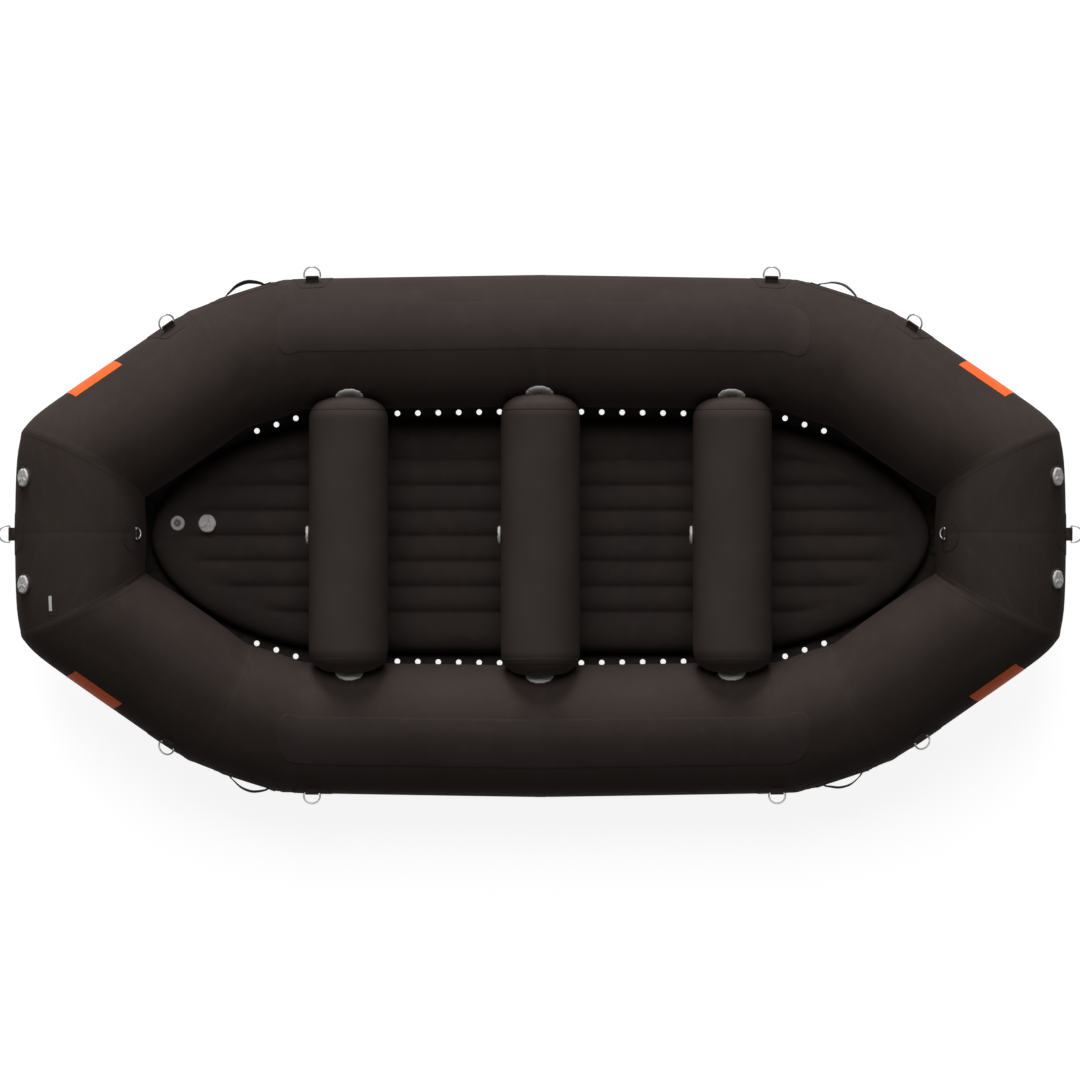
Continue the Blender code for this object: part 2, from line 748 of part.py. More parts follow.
def thwart_shape(name, x, radius, inset):
    """One thwart's outer shape before it meets the tubes, or with an inset the space in its skin."""
    wall = side_axis_y(x) - RADIUS * math.cos(math.radians(THWART_ELEVATION)) - FIT - inset
    ends = [(share * radius, wall - THWART_DOME * (1 - depth)) for share, depth in THWART_DOME_SHARES]
    profile = ends + [(r, -y) for r, y in reversed(ends)]
    obj = add_object(name, turned(name, profile, THWART_SIDES), None, cutters)
    half_step = Matrix.Rotation(math.pi / THWART_SIDES, 4, "Z")
    lay = Matrix.Rotation(-math.pi / 2, 4, "X")
    obj.matrix_world = Matrix.Translation((x, 0, THWART_HEIGHT)) @ lay @ half_step
    return obj


def make_thwart(name, x):
    flats = THWART_DIAMETER / 2 / math.cos(math.pi / THWART_SIDES)
    whole = thwart_shape(name + "_whole", x, flats, 0)
    space = thwart_shape(name + "_space", x, flats - THWART_SKIN, THWART_SKIN)
    for side in SIDES:
        combine(space, side_tube_cutter(side, RADIUS + FIT + THWART_SKIN))
    obj = add_object(name, evaluated(whole), THWART_FABRIC)
    bpy.data.objects.remove(whole)
    combine(obj, space)
    for side in SIDES:
        combine(obj, end_disc(f"{name}_{side}_disc", x, side), "UNION")
    for side in SIDES:
        combine(obj, side_tube_cutter(side, RADIUS + FIT))
    return obj


def end_disc(name, x, side):
    """The moulded disc on the tube's wall that the thwart's end is fastened to."""
    end = "bow" if x >= 0 else "stern"
    angle = 180 - THWART_ELEVATION
    distance = abs(x) / STRETCHES[SIDE][1].x
    matrix = seat(SIDE, distance, angle, end, side)
    return cylinder_cutter(name, matrix, DISC_DIAMETER / 2, -DISC_THICKNESS, DISC_THICKNESS, DISC_SIDES)


# Rings, keepers and handles
def ring_mesh(size):
    """A wire D with its straight bar along X and its bow towards +Z."""
    half = size["inside"] / 2 + WIRE / 2
    points = [(-half, 0, 0), (half, 0, 0)]
    for step in range(RING_ARC_STEPS + 1):
        turn = math.pi * step / RING_ARC_STEPS
        points.append((half * math.cos(turn), 0, size["leg"] + half * math.sin(turn)))
    return curve_mesh("ring", points, bevel=WIRE / 2, resolution=WIRE_RESOLUTION)


def keeper_mesh(size):
    """Webbing folded round the ring's bar: width along X, root at Z 0, eye at the reach."""
    eye = (WIRE / 2 + FIT) / math.cos(math.pi / KEEPER_SIDES)
    outside = eye + KEEPER_WALL
    reach = size["reach"]
    outline = [(-outside, 0, 0), (outside, 0, 0)]
    for step in range(KEEPER_SIDES // 2 + 1):
        turn = math.pi * step / (KEEPER_SIDES // 2)
        outline.append((outside * math.cos(turn), reach + outside * math.sin(turn), 0))
    hole = []
    for step in range(KEEPER_SIDES):
        turn = 2 * math.pi * (step + 0.5) / KEEPER_SIDES
        hole.append((eye * math.cos(turn), reach + eye * math.sin(turn), 0))
    mesh = curve_mesh("keeper", outline, extrude=size["webbing"] / 2, holes=(hole,))
    mesh.transform(Matrix(((0, 0, 1, 0), (1, 0, 0, 0), (0, 1, 0, 0), (0, 0, 0, 1))))
    return welded(mesh)


def make_ring(name, place, meshes):
    size, end, side, stretch, share, elevation = place
    angle = facet_angle(stretch, elevation)
    distance = share * LENGTHS[stretch]
    matrix = seat(stretch, distance, angle, end, side)

    def half_length(at):
        return size["patch_length"] / 2 - size["patch_taper"] * abs(2 * at - 1)

    patch = wall_sheet(
        "d_ring_patch_" + name, stretch, distance, angle, size["patch_from"], size["patch_to"],
        half_length, PATCH_THICKNESS, end, side, PATCH_FABRIC,
    )
    root = Matrix.Translation((0, 0, FIT + PATCH_THICKNESS - KEEPER_ROOT))
    keeper = add_object("keeper_" + name, meshes["keeper"], None, cutters)
    keeper.matrix_world = matrix @ root
    combine(patch, keeper, "UNION")
    ring = add_object("d_ring_" + name, meshes["ring"], STEEL)
    bar = matrix @ root @ Matrix.Translation((0, 0, size["reach"]))
    if elevation > 90:
        down = bar.col[1].xyz if bar.col[1].z < 0 else -bar.col[1].xyz
        bar = axes_matrix(bar.translation, bar.col[0].xyz, down)
    ring.matrix_world = bar
    return ring, patch


def make_handle(end, side, share):
    stretch = SHOULDER
    name = f"carry_handle_{side}_{end}"
    angle = facet_angle(stretch, 0)
    distance = share * LENGTHS[stretch]

    def half_length(at):
        return HANDLE_BASE_LENGTH / 2

    base = wall_sheet(
        name, stretch, distance, angle, -HANDLE_BASE_ANGLE, HANDLE_BASE_ANGLE,
        half_length, PATCH_THICKNESS, end, side, WEBBING,
    )
    bm = bmesh.new()
    rows = []
    for step in range(HANDLE_STEPS + 1):
        turn = math.pi * step / HANDLE_STEPS
        x, z = -HANDLE_SPAN / 2 * math.cos(turn), HANDLE_HEIGHT * math.sin(turn)
        rows.append([bm.verts.new((x, s * HANDLE_WEBBING / 2, z)) for s in (-1, 1)])
    loft(bm, rows, closed=False)
    bmesh.ops.recalc_face_normals(bm, faces=bm.faces)
    loop = add_object(name + "_loop", mesh_from(bm, name), None, cutters)
    thicken(loop, HANDLE_THICKNESS)
    root = Matrix.Translation((0, 0, FIT + PATCH_THICKNESS - HANDLE_ROOT))
    loop.matrix_world = seat(stretch, distance, angle, end, side) @ root
    combine(base, loop, "UNION")
    return base


# Valves
def valve_meshes():
    flange, barrel, boot = VALVE_FLANGE / 2, VALVE_BARREL / 2, VALVE_BOOT / 2
    bore, stem = VALVE_SEAT / 2, VALVE_STEM / 2
    top = FIT + VALVE_FLANGE_THICKNESS
    body = [
        (0, top - VALVE_STEM_TOP), (stem, top - VALVE_STEM_TOP), (stem, -VALVE_SEAT_DEPTH),
        (bore, -VALVE_SEAT_DEPTH), (bore, top), (flange, top), (flange, FIT), (barrel, FIT),
        (barrel, -VALVE_BOOT_DEPTH), (boot, -VALVE_BOOT_DEPTH), (boot, -VALVE_DEPTH), (0, -VALVE_DEPTH),
    ]
    outside = CAP_DIAMETER / 2
    inside = (flange + FIT) / math.cos(math.pi / VALVE_SIDES)
    cap = [
        (0, CAP_HEIGHT), (outside - CAP_WALL, CAP_HEIGHT), (outside, CAP_HEIGHT - CAP_WALL),
        (outside, CAP_WALL), (inside, CAP_WALL), (inside, top + FIT), (0, top + FIT),
    ]
    cap_turned = add_object("cap_turned", turned("cap", cap, VALVE_SIDES), None, cutters)
    for number in range(CAP_GRIPS):
        bm = bmesh.new()
        bmesh.ops.create_cube(bm, size=1)
        grip = add_object(f"grip_{number}", mesh_from(bm, "grip"), None, cutters)
        out = (outside - CAP_WALL) - CAP_GRIP_LENGTH / 2 - CAP_WALL
        turn = Matrix.Rotation(2 * math.pi * number / CAP_GRIPS, 4, "Z")
        size = Matrix.Diagonal((CAP_GRIP_LENGTH, CAP_GRIP_WIDTH, 2 * CAP_GRIP_HEIGHT, 1))
        grip.matrix_world = turn @ Matrix.Translation((out, 0, CAP_HEIGHT)) @ size
        combine(cap_turned, grip, "UNION")
    meshes = {"body": turned("valve_body", body, VALVE_SIDES), "cap": evaluated(cap_turned)}
    return meshes


def make_valve(name, matrix, carrier, meshes):
    """A valve body through the carrier's skin, and the cap over it."""
    body = add_object("valve_body_" + name, meshes["body"], VALVE_PLASTIC)
    cap = add_object("valve_cap_" + name, meshes["cap"], VALVE_PLASTIC)
    body.matrix_world = matrix
    cap.matrix_world = matrix
    hole = cylinder_cutter(
        "hole_" + name, matrix, VALVE_BARREL / 2 / math.cos(math.pi / VALVE_SIDES) + FIT,
        -OVERRUN, OVERRUN, VALVE_SIDES,
    )
    combine(carrier, hole)


def make_relief_valve(matrix, carrier):
    flange, barrel, bore = RELIEF_FLANGE / 2, RELIEF_BARREL / 2, RELIEF_BORE / 2
    plate, stem = PLUNGER_DIAMETER / 2, PLUNGER_STEM / 2
    top = FIT + RELIEF_FLANGE_THICKNESS
    body = [
        (0, top - RELIEF_BORE_DEPTH), (bore, top - RELIEF_BORE_DEPTH), (bore, top), (flange, top),
        (flange, FIT), (barrel, FIT), (barrel, -RELIEF_DEPTH), (0, -RELIEF_DEPTH),
    ]
    low = top - RELIEF_BORE_DEPTH + PLUNGER_TRAVEL + FIT
    plate_top = top - PLUNGER_PLATE
    plunger = [
        (0, top - PLUNGER_TOP + PLUNGER_PLATE), (stem, top - PLUNGER_TOP + PLUNGER_PLATE), (stem, plate_top),
        (plate, plate_top), (plate, plate_top - PLUNGER_PLATE), (stem, plate_top - PLUNGER_PLATE),
        (stem, low), (0, low),
    ]
    obj = add_object("relief_valve_body", turned("relief_body", body, VALVE_SIDES), VALVE_PLASTIC)
    button = add_object("relief_valve_plunger", turned("plunger", plunger, VALVE_SIDES), DARK_PLASTIC)
    obj.matrix_world = matrix
    button.matrix_world = matrix
    hole = cylinder_cutter(
        "relief_hole", matrix, RELIEF_BARREL / 2 / math.cos(math.pi / VALVE_SIDES) + FIT,
        -OVERRUN, OVERRUN, VALVE_SIDES,
    )
    combine(carrier, hole)


def build():
    chambers = {(end, side): make_chamber(end, side) for end, side in CHAMBER_VALVE_SHARES}
    make_baffle("baffle_port", 0, 1)
    make_baffle("baffle_starboard", 0, -1)
    make_baffle("baffle_bow", 1, 1)
    make_baffle("baffle_stern", 1, -1)
    floor, seats = make_floor()
    make_floor_webs()
    make_flap()
    valves = valve_meshes()
    for (end, side), share in CHAMBER_VALVE_SHARES.items():
        angle = facet_angle(END, VALVE_ELEVATION)
        matrix = seat(END, share * LENGTHS[END], angle, end, side)
        make_valve(f"chamber_{side}_{end}", matrix, chambers[end, side], valves)
    for name, x in (("bow", THWART_PITCH), ("mid", 0), ("stern", -THWART_PITCH)):
        thwart = make_thwart("thwart_" + name, x)
        face = Vector((x - THWART_DIAMETER / 2, 0, THWART_HEIGHT))
        make_valve("thwart_" + name, axes_matrix(face, Vector((0, 1, 0)), Vector((-1, 0, 0))), thwart, valves)
    make_valve("floor", floor_seat(seats, FLOOR_VALVE_FROM_TIP), floor, valves)
    make_relief_valve(floor_seat(seats, RELIEF_FROM_TIP), floor)
    ring_sets = {}
    for name, place in RING_PLACES.items():
        size = place[0]
        if size["inside"] not in ring_sets:
            ring_sets[size["inside"]] = {"ring": ring_mesh(size), "keeper": keeper_mesh(size)}
        make_ring(name, place, ring_sets[size["inside"]])
    for (end, side), share in HANDLE_SHARES.items():
        make_handle(end, side, share)


build()
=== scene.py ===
import json
import math

import bmesh
import bpy
from mathutils import Matrix, Vector, noise


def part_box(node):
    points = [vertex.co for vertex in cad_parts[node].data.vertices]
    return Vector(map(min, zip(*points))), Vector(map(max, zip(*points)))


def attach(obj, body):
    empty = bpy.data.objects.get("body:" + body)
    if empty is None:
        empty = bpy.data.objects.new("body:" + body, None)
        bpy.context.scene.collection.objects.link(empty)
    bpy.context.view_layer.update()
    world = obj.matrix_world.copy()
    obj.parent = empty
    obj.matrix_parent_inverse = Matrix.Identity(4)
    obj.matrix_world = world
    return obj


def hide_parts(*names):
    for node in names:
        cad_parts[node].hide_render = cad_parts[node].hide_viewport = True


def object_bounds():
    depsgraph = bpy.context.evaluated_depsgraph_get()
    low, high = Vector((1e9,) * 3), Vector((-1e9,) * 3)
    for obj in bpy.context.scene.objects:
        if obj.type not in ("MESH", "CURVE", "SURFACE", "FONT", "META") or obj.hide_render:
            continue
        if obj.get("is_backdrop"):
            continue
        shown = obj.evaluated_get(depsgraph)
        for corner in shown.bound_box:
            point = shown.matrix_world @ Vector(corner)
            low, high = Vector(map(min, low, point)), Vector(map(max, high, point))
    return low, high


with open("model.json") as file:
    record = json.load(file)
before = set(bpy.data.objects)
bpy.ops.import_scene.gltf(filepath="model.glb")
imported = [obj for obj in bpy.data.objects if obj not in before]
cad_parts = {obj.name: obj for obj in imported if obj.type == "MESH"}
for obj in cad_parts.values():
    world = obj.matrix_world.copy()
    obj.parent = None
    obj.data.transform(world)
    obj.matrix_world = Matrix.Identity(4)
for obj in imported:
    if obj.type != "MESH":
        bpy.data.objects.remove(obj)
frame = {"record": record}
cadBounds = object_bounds()
joints = {joint["name"]: joint for joint in frame["record"]["behaviour"]["joints"]}
mm = 0.001
ends = {"bow": 1, "stern": -1}
sides = {"port": 1, "starboard": -1}
print("frame loaded")


# Materials. Every piece carries UVs in metres, so a pattern's scale comes from its real size.
def linearColour(code):
    values = [int(code[i : i + 2], 16) / 255 for i in (1, 3, 5)]
    return (*[v / 12.92 if v <= 0.04045 else ((v + 0.055) / 1.055) ** 2.4 for v in values], 1)


def addNode(tree, kind, inputs=None, **settings):
    node = tree.nodes.new("ShaderNode" + kind)
    for name, value in settings.items():
        setattr(node, name, value)
    for socket, value in (inputs or {}).items():
        if isinstance(value, bpy.types.NodeSocket):
            tree.links.new(value, node.inputs[socket])
        else:
            node.inputs[socket].default_value = value
    return node


def startMaterial(name, look):
    material = bpy.data.materials.new(name)
    material.use_nodes = True
    shader = material.node_tree.nodes["Principled BSDF"]
    shader.inputs["Base Color"].default_value = linearColour(look["colour"])
    shader.inputs["Roughness"].default_value = look["roughness"]
    shader.inputs["Metallic"].default_value = look.get("metallic", 0)
    shader.inputs["Specular IOR Level"].default_value = look.get("gloss", 0.5)
    return material, material.node_tree, shader


def blotches(tree, place, sizeMm, low, high, detail=4):
    # soft patches of about this size, from 0 to 1
    cloud = addNode(tree, "TexNoise", {"Vector": place, "Scale": 1 / (sizeMm * mm), "Detail": detail})
    spread = {"Value": cloud.outputs["Fac"], "From Min": low, "From Max": high}
    return addNode(tree, "MapRange", spread).outputs["Result"]


def threads(tree, place, spacingMm, direction):
    # a wave node repeats every pi / 10 of its own units
    scale = math.pi / 10 / (spacingMm * mm)
    wave = addNode(tree, "TexWave", {"Vector": place, "Scale": scale}, bands_direction=direction)
    return wave.outputs["Fac"]


def roughen(tree, shader, factor, look, spread):
    # rougher by this much where the factor is 1
    values = {"Value": factor, "To Min": look["roughness"], "To Max": look["roughness"] + spread}
    tree.links.new(addNode(tree, "MapRange", values).outputs["Result"], shader.inputs["Roughness"])


def emboss(tree, shader, height, strength, depthMm):
    values = {"Height": height, "Strength": strength, "Distance": depthMm * mm}
    tree.links.new(addNode(tree, "Bump", values).outputs[0], shader.inputs["Normal"])


def mixColours(tree, factor, first, second, amount=1.0):
    scaled = addNode(tree, "Math", {0: factor, 1: amount}, operation="MULTIPLY").outputs[0]
    mix = addNode(tree, "Mix", {"Factor": scaled}, data_type="RGBA")
    for socket, value in ((mix.inputs[6], first), (mix.inputs[7], second)):
        if isinstance(value, str):
            socket.default_value = linearColour(value)
        else:
            tree.links.new(value, socket)
    return mix.outputs[2]


def coatedFabric(name, look):
    # PVC calendered onto woven polyester: matt, with the threads showing faintly through the coat
    material, tree, shader = startMaterial(name, look)
    place = addNode(tree, "TexCoord").outputs["UV"]
    drift = blotches(tree, place, look["driftMm"], 0.38, 0.62)
    dust = blotches(tree, place, look["dustMm"], 0.5, 0.72, 8)
    colour = mixColours(tree, drift, look["colour"], look["drift"])
    colour = mixColours(tree, dust, colour, look["dust"], look["dustAmount"])
    tree.links.new(colour, shader.inputs["Base Color"])
    roughen(tree, shader, dust, look, look["roughSpread"])
    # the cloth's own threads are 1.1 mm apart and are drawn coarser, so that they show from near by
    warp = threads(tree, place, look["threadMm"], "X")
    weft = threads(tree, place, look["threadMm"], "Y")
    weave = addNode(tree, "Math", {0: warp, 1: weft}, operation="MULTIPLY").outputs[0]
    grain = addNode(tree, "TexNoise", {"Vector": place, "Scale": 1 / (look["grainMm"] * mm), "Detail": 6})
    height = addNode(tree, "Math", {0: weave, 1: 0.35, 2: grain.outputs["Fac"]}, operation="MULTIPLY_ADD")
    emboss(tree, shader, height.outputs[0], look["relief"], 0.6)
    return material


def wovenWebbing(name, look):
    # nylon webbing: ribs across the strap, softened edges to each thread, dull
    material, tree, shader = startMaterial(name, look)
    place = addNode(tree, "TexCoord").outputs["UV"]
    ribs = threads(tree, place, look["ribMm"], "X")
    rows = threads(tree, place, look["rowMm"], "Y")
    weave = addNode(tree, "Math", {0: ribs, 1: rows}, operation="MULTIPLY").outputs[0]
    wear = blotches(tree, place, look["wearMm"], 0.4, 0.7, 6)
    colour = mixColours(tree, weave, look["shadow"], look["colour"])
    colour = mixColours(tree, wear, colour, look["worn"], 0.35)
    tree.links.new(colour, shader.inputs["Base Color"])
    emboss(tree, shader, weave, 0.6, 0.5)
    return material


def mouldedPlastic(name, look):
    # injection-moulded nylon: fine spark-eroded grain, slightly paler where it is rubbed
    material, tree, shader = startMaterial(name, look)
    place = addNode(tree, "TexCoord").outputs["Object"]
    rub = blotches(tree, place, look["rubMm"], 0.42, 0.68, 7)
    tree.links.new(mixColours(tree, rub, look["colour"], look["rubbed"]), shader.inputs["Base Color"])
    roughen(tree, shader, rub, look, 0.15)
    grain = addNode(tree, "TexNoise", {"Vector": place, "Scale": 1 / (look["grainMm"] * mm), "Detail": 3})
    emboss(tree, shader, grain.outputs["Fac"], 0.25, 0.2)
    return material


def polishedWire(name, look):
    # drawn stainless wire, tumbled: bright, with faint handling marks that spread the highlight
    material, tree, shader = startMaterial(name, look)
    place = addNode(tree, "TexCoord").outputs["Object"]
    marks = blotches(tree, place, look["markMm"], 0.35, 0.7, 8)
    roughen(tree, shader, marks, look, 0.18)
    tree.links.new(mixColours(tree, marks, look["colour"], look["dulled"]), shader.inputs["Base Color"])
    return material


def printedVinyl(name, look):
    # calendered vinyl label: satin, with the hull's fabric telegraphing through
    material, tree, shader = startMaterial(name, look)
    place = addNode(tree, "TexCoord").outputs["UV"]
    fade = blotches(tree, place, look["fadeMm"], 0.4, 0.65)
    scuff = blotches(tree, place, look["scuffMm"], 0.55, 0.75, 9)
    colour = mixColours(tree, fade, look["colour"], look["faded"])
    tree.links.new(mixColours(tree, scuff, colour, look["scuffed"], 0.3), shader.inputs["Base Color"])
    grain = addNode(tree, "TexNoise", {"Vector": place, "Scale": 1 / (look["grainMm"] * mm), "Detail": 4})
    emboss(tree, shader, grain.outputs["Fac"], 0.2, 0.4)
    return material


hullLook = {
    "colour": "#423a37", "drift": "#3e3633", "dust": "#4d4542", "dustAmount": 0.3, "roughness": 0.72,
    "roughSpread": 0.12, "driftMm": 340, "dustMm": 60, "threadMm": 2.4, "grainMm": 7, "relief": 0.3,
    "gloss": 0.02,
}
# cloth: material name, colour, slow drift of the colour, and what else differs from the hull's
fabricLooks = {
    "hull": ("calenderedPvcHull", "#423a37", "#3e3633", {}),
    "thwart": ("calenderedPvcThwart", "#48403d", "#443c39", {"driftMm": 240}),
    "floor": ("dropFloorPvc", "#403936", "#3b3533", {"roughness": 0.74, "driftMm": 260}),
    "flap": ("lightDutyPvcFlap", "#393431", "#322e2c", {"roughness": 0.78, "dustMm": 40}),
    "patch": ("gluedPvcPatch", "#403936", "#3c3533", {"roughness": 0.74, "driftMm": 120}),
    # the hull's own cloth cut into strips, a little darker all over, with smaller blotches of drift and dust
    "keeper": ("foldedPvcStrip", "#3f3835", "#393230", {"driftMm": 30, "dustMm": 14}),
    "tape": ("seamTapePvc", "#423b38", "#3f3734", {"roughness": 0.7, "driftMm": 160}),
    "chafe": ("ribbedChafePvc", "#433b39", "#3f3735", {"roughness": 0.74, "threadMm": 3.2, "relief": 0.5}),
    "inside": ("uncoatedBaffleCloth", "#a9a49c", "#9d978e", {"dust": "#b8b3ab", "relief": 0.7}),
}
fabric = {
    use: coatedFabric(name, hullLook | {"colour": colour, "drift": drift} | changes)
    for use, (name, colour, drift, changes) in fabricLooks.items()
}
webbing = wovenWebbing(
    "nylonWebbingBlack",
    {"colour": "#1e1c1c", "shadow": "#0d0c0c", "worn": "#2b2928", "roughness": 0.82, "ribMm": 2.2,
     "rowMm": 3.1, "wearMm": 26},
)
steel = polishedWire(
    "stainlessSteelTumbled",
    {"colour": "#a9a8a6", "dulled": "#8b8a88", "roughness": 0.3, "metallic": 1, "markMm": 6},
)
# moulding: material name, colour, colour where it is rubbed, roughness, size of a rub, size of the grain
plasticLooks = {
    "grey": ("nylonMouldedGrey", "#c4c2bf", "#d8d6d2", 0.42, 18, 0.9),
    "pale": ("nylonMouldedPale", "#edece8", "#f6f5f2", 0.45, 22, 0.9),
    "dull": ("nylonMouldedDull", "#6f6d6b", "#83817e", 0.5, 12, 0.9),
    "black": ("epdmMouldedBlack", "#161514", "#211f1e", 0.6, 15, 1.2),
    "thread": ("bondedNylonThread", "#2f2c2b", "#45413f", 0.7, 8, 0.6),
}
plasticFields = ("colour", "rubbed", "roughness", "rubMm", "grainMm")
plastic = {
    use: mouldedPlastic(name, dict(zip(plasticFields, values))) for use, (name, *values) in plasticLooks.items()
}
# label: material name, colour, faded, scuffed, roughness, gloss, size of a faded place, scuff and grain
labelLooks = {
    "orange": ("vinylLabelOrange", "#ff6c2c", "#f96526", "#ff8748", 0.6, 0.2, 70, 14, 5),
    "white": ("vinylTagWhite", "#e6e4e0", "#dad7d2", "#f4f3f0", 0.45, 0.5, 20, 6, 4),
}
labelFields = ("colour", "faded", "scuffed", "roughness", "gloss", "fadeMm", "scuffMm", "grainMm")
label = {use: printedVinyl(name, dict(zip(labelFields, values))) for use, (name, *values) in labelLooks.items()}
print("materials made")


# Piece helpers
def rideHull(obj, *nodes):
    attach(obj, "hull")
    if nodes:
        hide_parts(*nodes)
    return obj


def newPiece(name, bm, material):
    mesh = bpy.data.meshes.new(name)
    bm.to_mesh(mesh)
    bm.free()
    mesh.materials.append(material)
    mesh.shade_smooth()
    obj = bpy.data.objects.new(name, mesh)
    bpy.context.scene.collection.objects.link(obj)
    return obj


def sheetMesh(rows, uvAt, wrap=False, flip=False):
    # faces between rows of points, with UVs in metres
    bm = bmesh.new()
    metres = bm.loops.layers.uv.new("metres")
    grid = [[bm.verts.new(point) for point in row] for row in rows]
    for r in range(len(grid) - 1):
        count = len(grid[r])
        for c in range(count if wrap else count - 1):
            corners = [(r, c), (r, c + 1), (r + 1, c + 1), (r + 1, c)]
            if flip:
                corners.reverse()
            face = bm.faces.new([grid[a][b % count] for a, b in corners])
            for loop, (a, b) in zip(face.loops, corners):
                loop[metres].uv = uvAt(a, b)
    return bm


def addFaces(bm, rows, uvOf, wrap=False):
    # as sheetMesh, added to a mesh that is there; uvOf gives a point's UV from its place
    metres = bm.loops.layers.uv.verify()
    grid = [[bm.verts.new(point) for point in row] for row in rows]
    for near, far in zip(grid, grid[1:]):
        count = len(near)
        for c in range(count if wrap else count - 1):
            ahead = (c + 1) % count
            face = bm.faces.new((near[c], near[ahead], far[ahead], far[c]))
            for loop in face.loops:
                loop[metres].uv = uvOf(loop.vert.co)


def cleanMesh(bm, joinMm=0.0):
    if joinMm:
        bmesh.ops.remove_doubles(bm, verts=bm.verts, dist=joinMm * mm)
    bmesh.ops.recalc_face_normals(bm, faces=bm.faces)
    return bm


def thicken(obj, thickness, bevel=0.0, offset=1):
    skin = obj.modifiers.new("thickness", "SOLIDIFY")
    skin.thickness = thickness
    skin.offset = offset
    if bevel:
        edge = obj.modifiers.new("softEdge", "BEVEL")
        edge.width = bevel
        edge.segments = 2
        edge.limit_method = "ANGLE"
    return obj


def lathe(name, matrix, profile, material, steps=64, shape=None):
    # profile points are (radius, height) in mm, from the top's middle outwards and down
    def around(radius, height, turn):
        grown, lift = shape(radius, turn, height) if shape else (radius, 0)
        return Vector((grown * math.cos(turn), grown * math.sin(turn), height + lift)) * mm

    turns = [2 * math.pi * i / steps for i in range(steps)]
    rows = [[around(max(r, 0.01), h, turn) for turn in turns] for r, h in profile]
    bm = sheetMesh(rows, lambda a, b: (b / steps * 0.1, profile[a][0] * mm), wrap=True)
    obj = newPiece(name, cleanMesh(bm, 0.02), material)
    obj.matrix_world = matrix
    obj.data.set_sharp_from_angle(angle=math.radians(50))
    return obj


def smoothPath(points, steps=6):
    # a curve through the points, each stretch in the given number of steps
    path = []
    padded = [points[0]] + list(points) + [points[-1]]
    for i in range(1, len(padded) - 2):
        a, b, c, d = (Vector(p) for p in padded[i - 1 : i + 3])
        for step in range(steps):
            t = step / steps
            bend, twist = 2 * a - 5 * b + 4 * c - d, 3 * b - a - 3 * c + d
            path.append(0.5 * (2 * b + (c - a) * t + bend * t**2 + twist * t**3))
    path.append(Vector(points[-1]))
    return path


def strapPiece(name, matrix, path, widthMm, thickness, material, acrossAt, bevelMm=0.4):
    # a strap along a path of points in mm; acrossAt gives the strap's own direction across at each point
    steps = 8
    shares = [step / steps for step in range(steps + 1)]
    rows = [
        [(point + acrossAt(i) * widthMm * (share - 0.5)) * mm for i, point in enumerate(path)] for share in shares
    ]
    runs = [0]
    for a, b in zip(path, path[1:]):
        runs.append(runs[-1] + (b - a).length * mm)
    obj = newPiece(name, sheetMesh(rows, lambda a, b: (runs[b], shares[a] * widthMm * mm)), material)
    obj.matrix_world = matrix
    return thicken(obj, thickness, bevel=bevelMm * mm, offset=0)


# Hull: an inflated tube of straight panels with mitred seams
baffleLow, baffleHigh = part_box("baffle_port")
bowLow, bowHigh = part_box("baffle_bow")
hull = {
    "radius": (baffleHigh.z - baffleLow.z) / 2,
    "halfBeam": (baffleHigh.y + baffleLow.y) / 2,
    "halfLength": (bowHigh.x + bowLow.x) / 2,
    "rise": (bowHigh.z + bowLow.z) / 2 - (baffleHigh.z - baffleLow.z) / 2,
    # corners of the centre line in one quarter, as shares of half length, half beam and rise
    "corners": [(0, 1, 0), (0.537, 0.981, 0), (0.704, 0.851, 0.25), (1, 0.365, 1), (1, 0, 1)],
    # at each seam: how deep it pinches, how far the pinch reaches, and how much the cloth puckers
    "seams": [(0.6, 30, 0.2), (3, 90, 1.2), (5, 90, 1.2), (6, 80, 2.2), (1.0, 9, 0.3)],
    # the sharpest bend is drawn in on its outer side, by this much, this far before it and this far after it
    "cornerMm": [0, 0, 0, 22, 0], "cornerReachMm": (60, 130),
    "bulgeMm": [2, 2, 1, 0],
    "around": 128,
    "panelRings": [30, 14, 24, 14],
}
sideStretch, shoulder, quarter, endStretch = range(4)


def tubePath():
    corners = [
        Vector((x * hull["halfLength"], y * hull["halfBeam"], hull["radius"] + z * hull["rise"]))
        for x, y, z in hull["corners"]
    ]
    stretches = []
    for start, finish in zip(corners, corners[1:]):
        along = (finish - start).normalized()
        if stretches:
            turn = stretches[-1][1].rotation_difference(along)
            out, up = turn @ stretches[-1][2], turn @ stretches[-1][3]
        else:
            up = Vector((0, 0, 1))
            out = up.cross(along)
        stretches.append((start, along, out, up))
    planes = [(Vector((0, 0, 0)), Vector((1, 0, 0)))]
    for i in range(1, 4):
        planes.append((corners[i], (stretches[i - 1][1] + stretches[i][1]).normalized()))
    planes.append((Vector((0, 0, 0)), Vector((0, 1, 0))))
    return corners, stretches, planes


tubeCorners, stretches, seamPlanes = tubePath()


def wallDirection(stretch, angle):
    turn = math.radians(angle)
    return math.cos(turn) * stretches[stretch][2] + math.sin(turn) * stretches[stretch][3]


def seamPoint(seam, stretch, angle, radius):
    # where the wall's line at this angle crosses a seam plane
    start, along = stretches[stretch][:2]
    foot = start + wallDirection(stretch, angle) * radius
    point, normal = seamPlanes[seam]
    return foot + along * ((point - foot).dot(normal) / along.dot(normal))


markCache = {}


def seamMarks(angle):
    # distance of each seam from amidships, along the wall at this angle
    key = round(angle % 360, 3)
    if key not in markCache:
        marks = [0]
        for stretch in range(4):
            a = seamPoint(stretch, stretch, angle, hull["radius"])
            b = seamPoint(stretch + 1, stretch, angle, hull["radius"])
            marks.append(marks[-1] + (b - a).length)
        markCache[key] = marks
    return markCache[key]


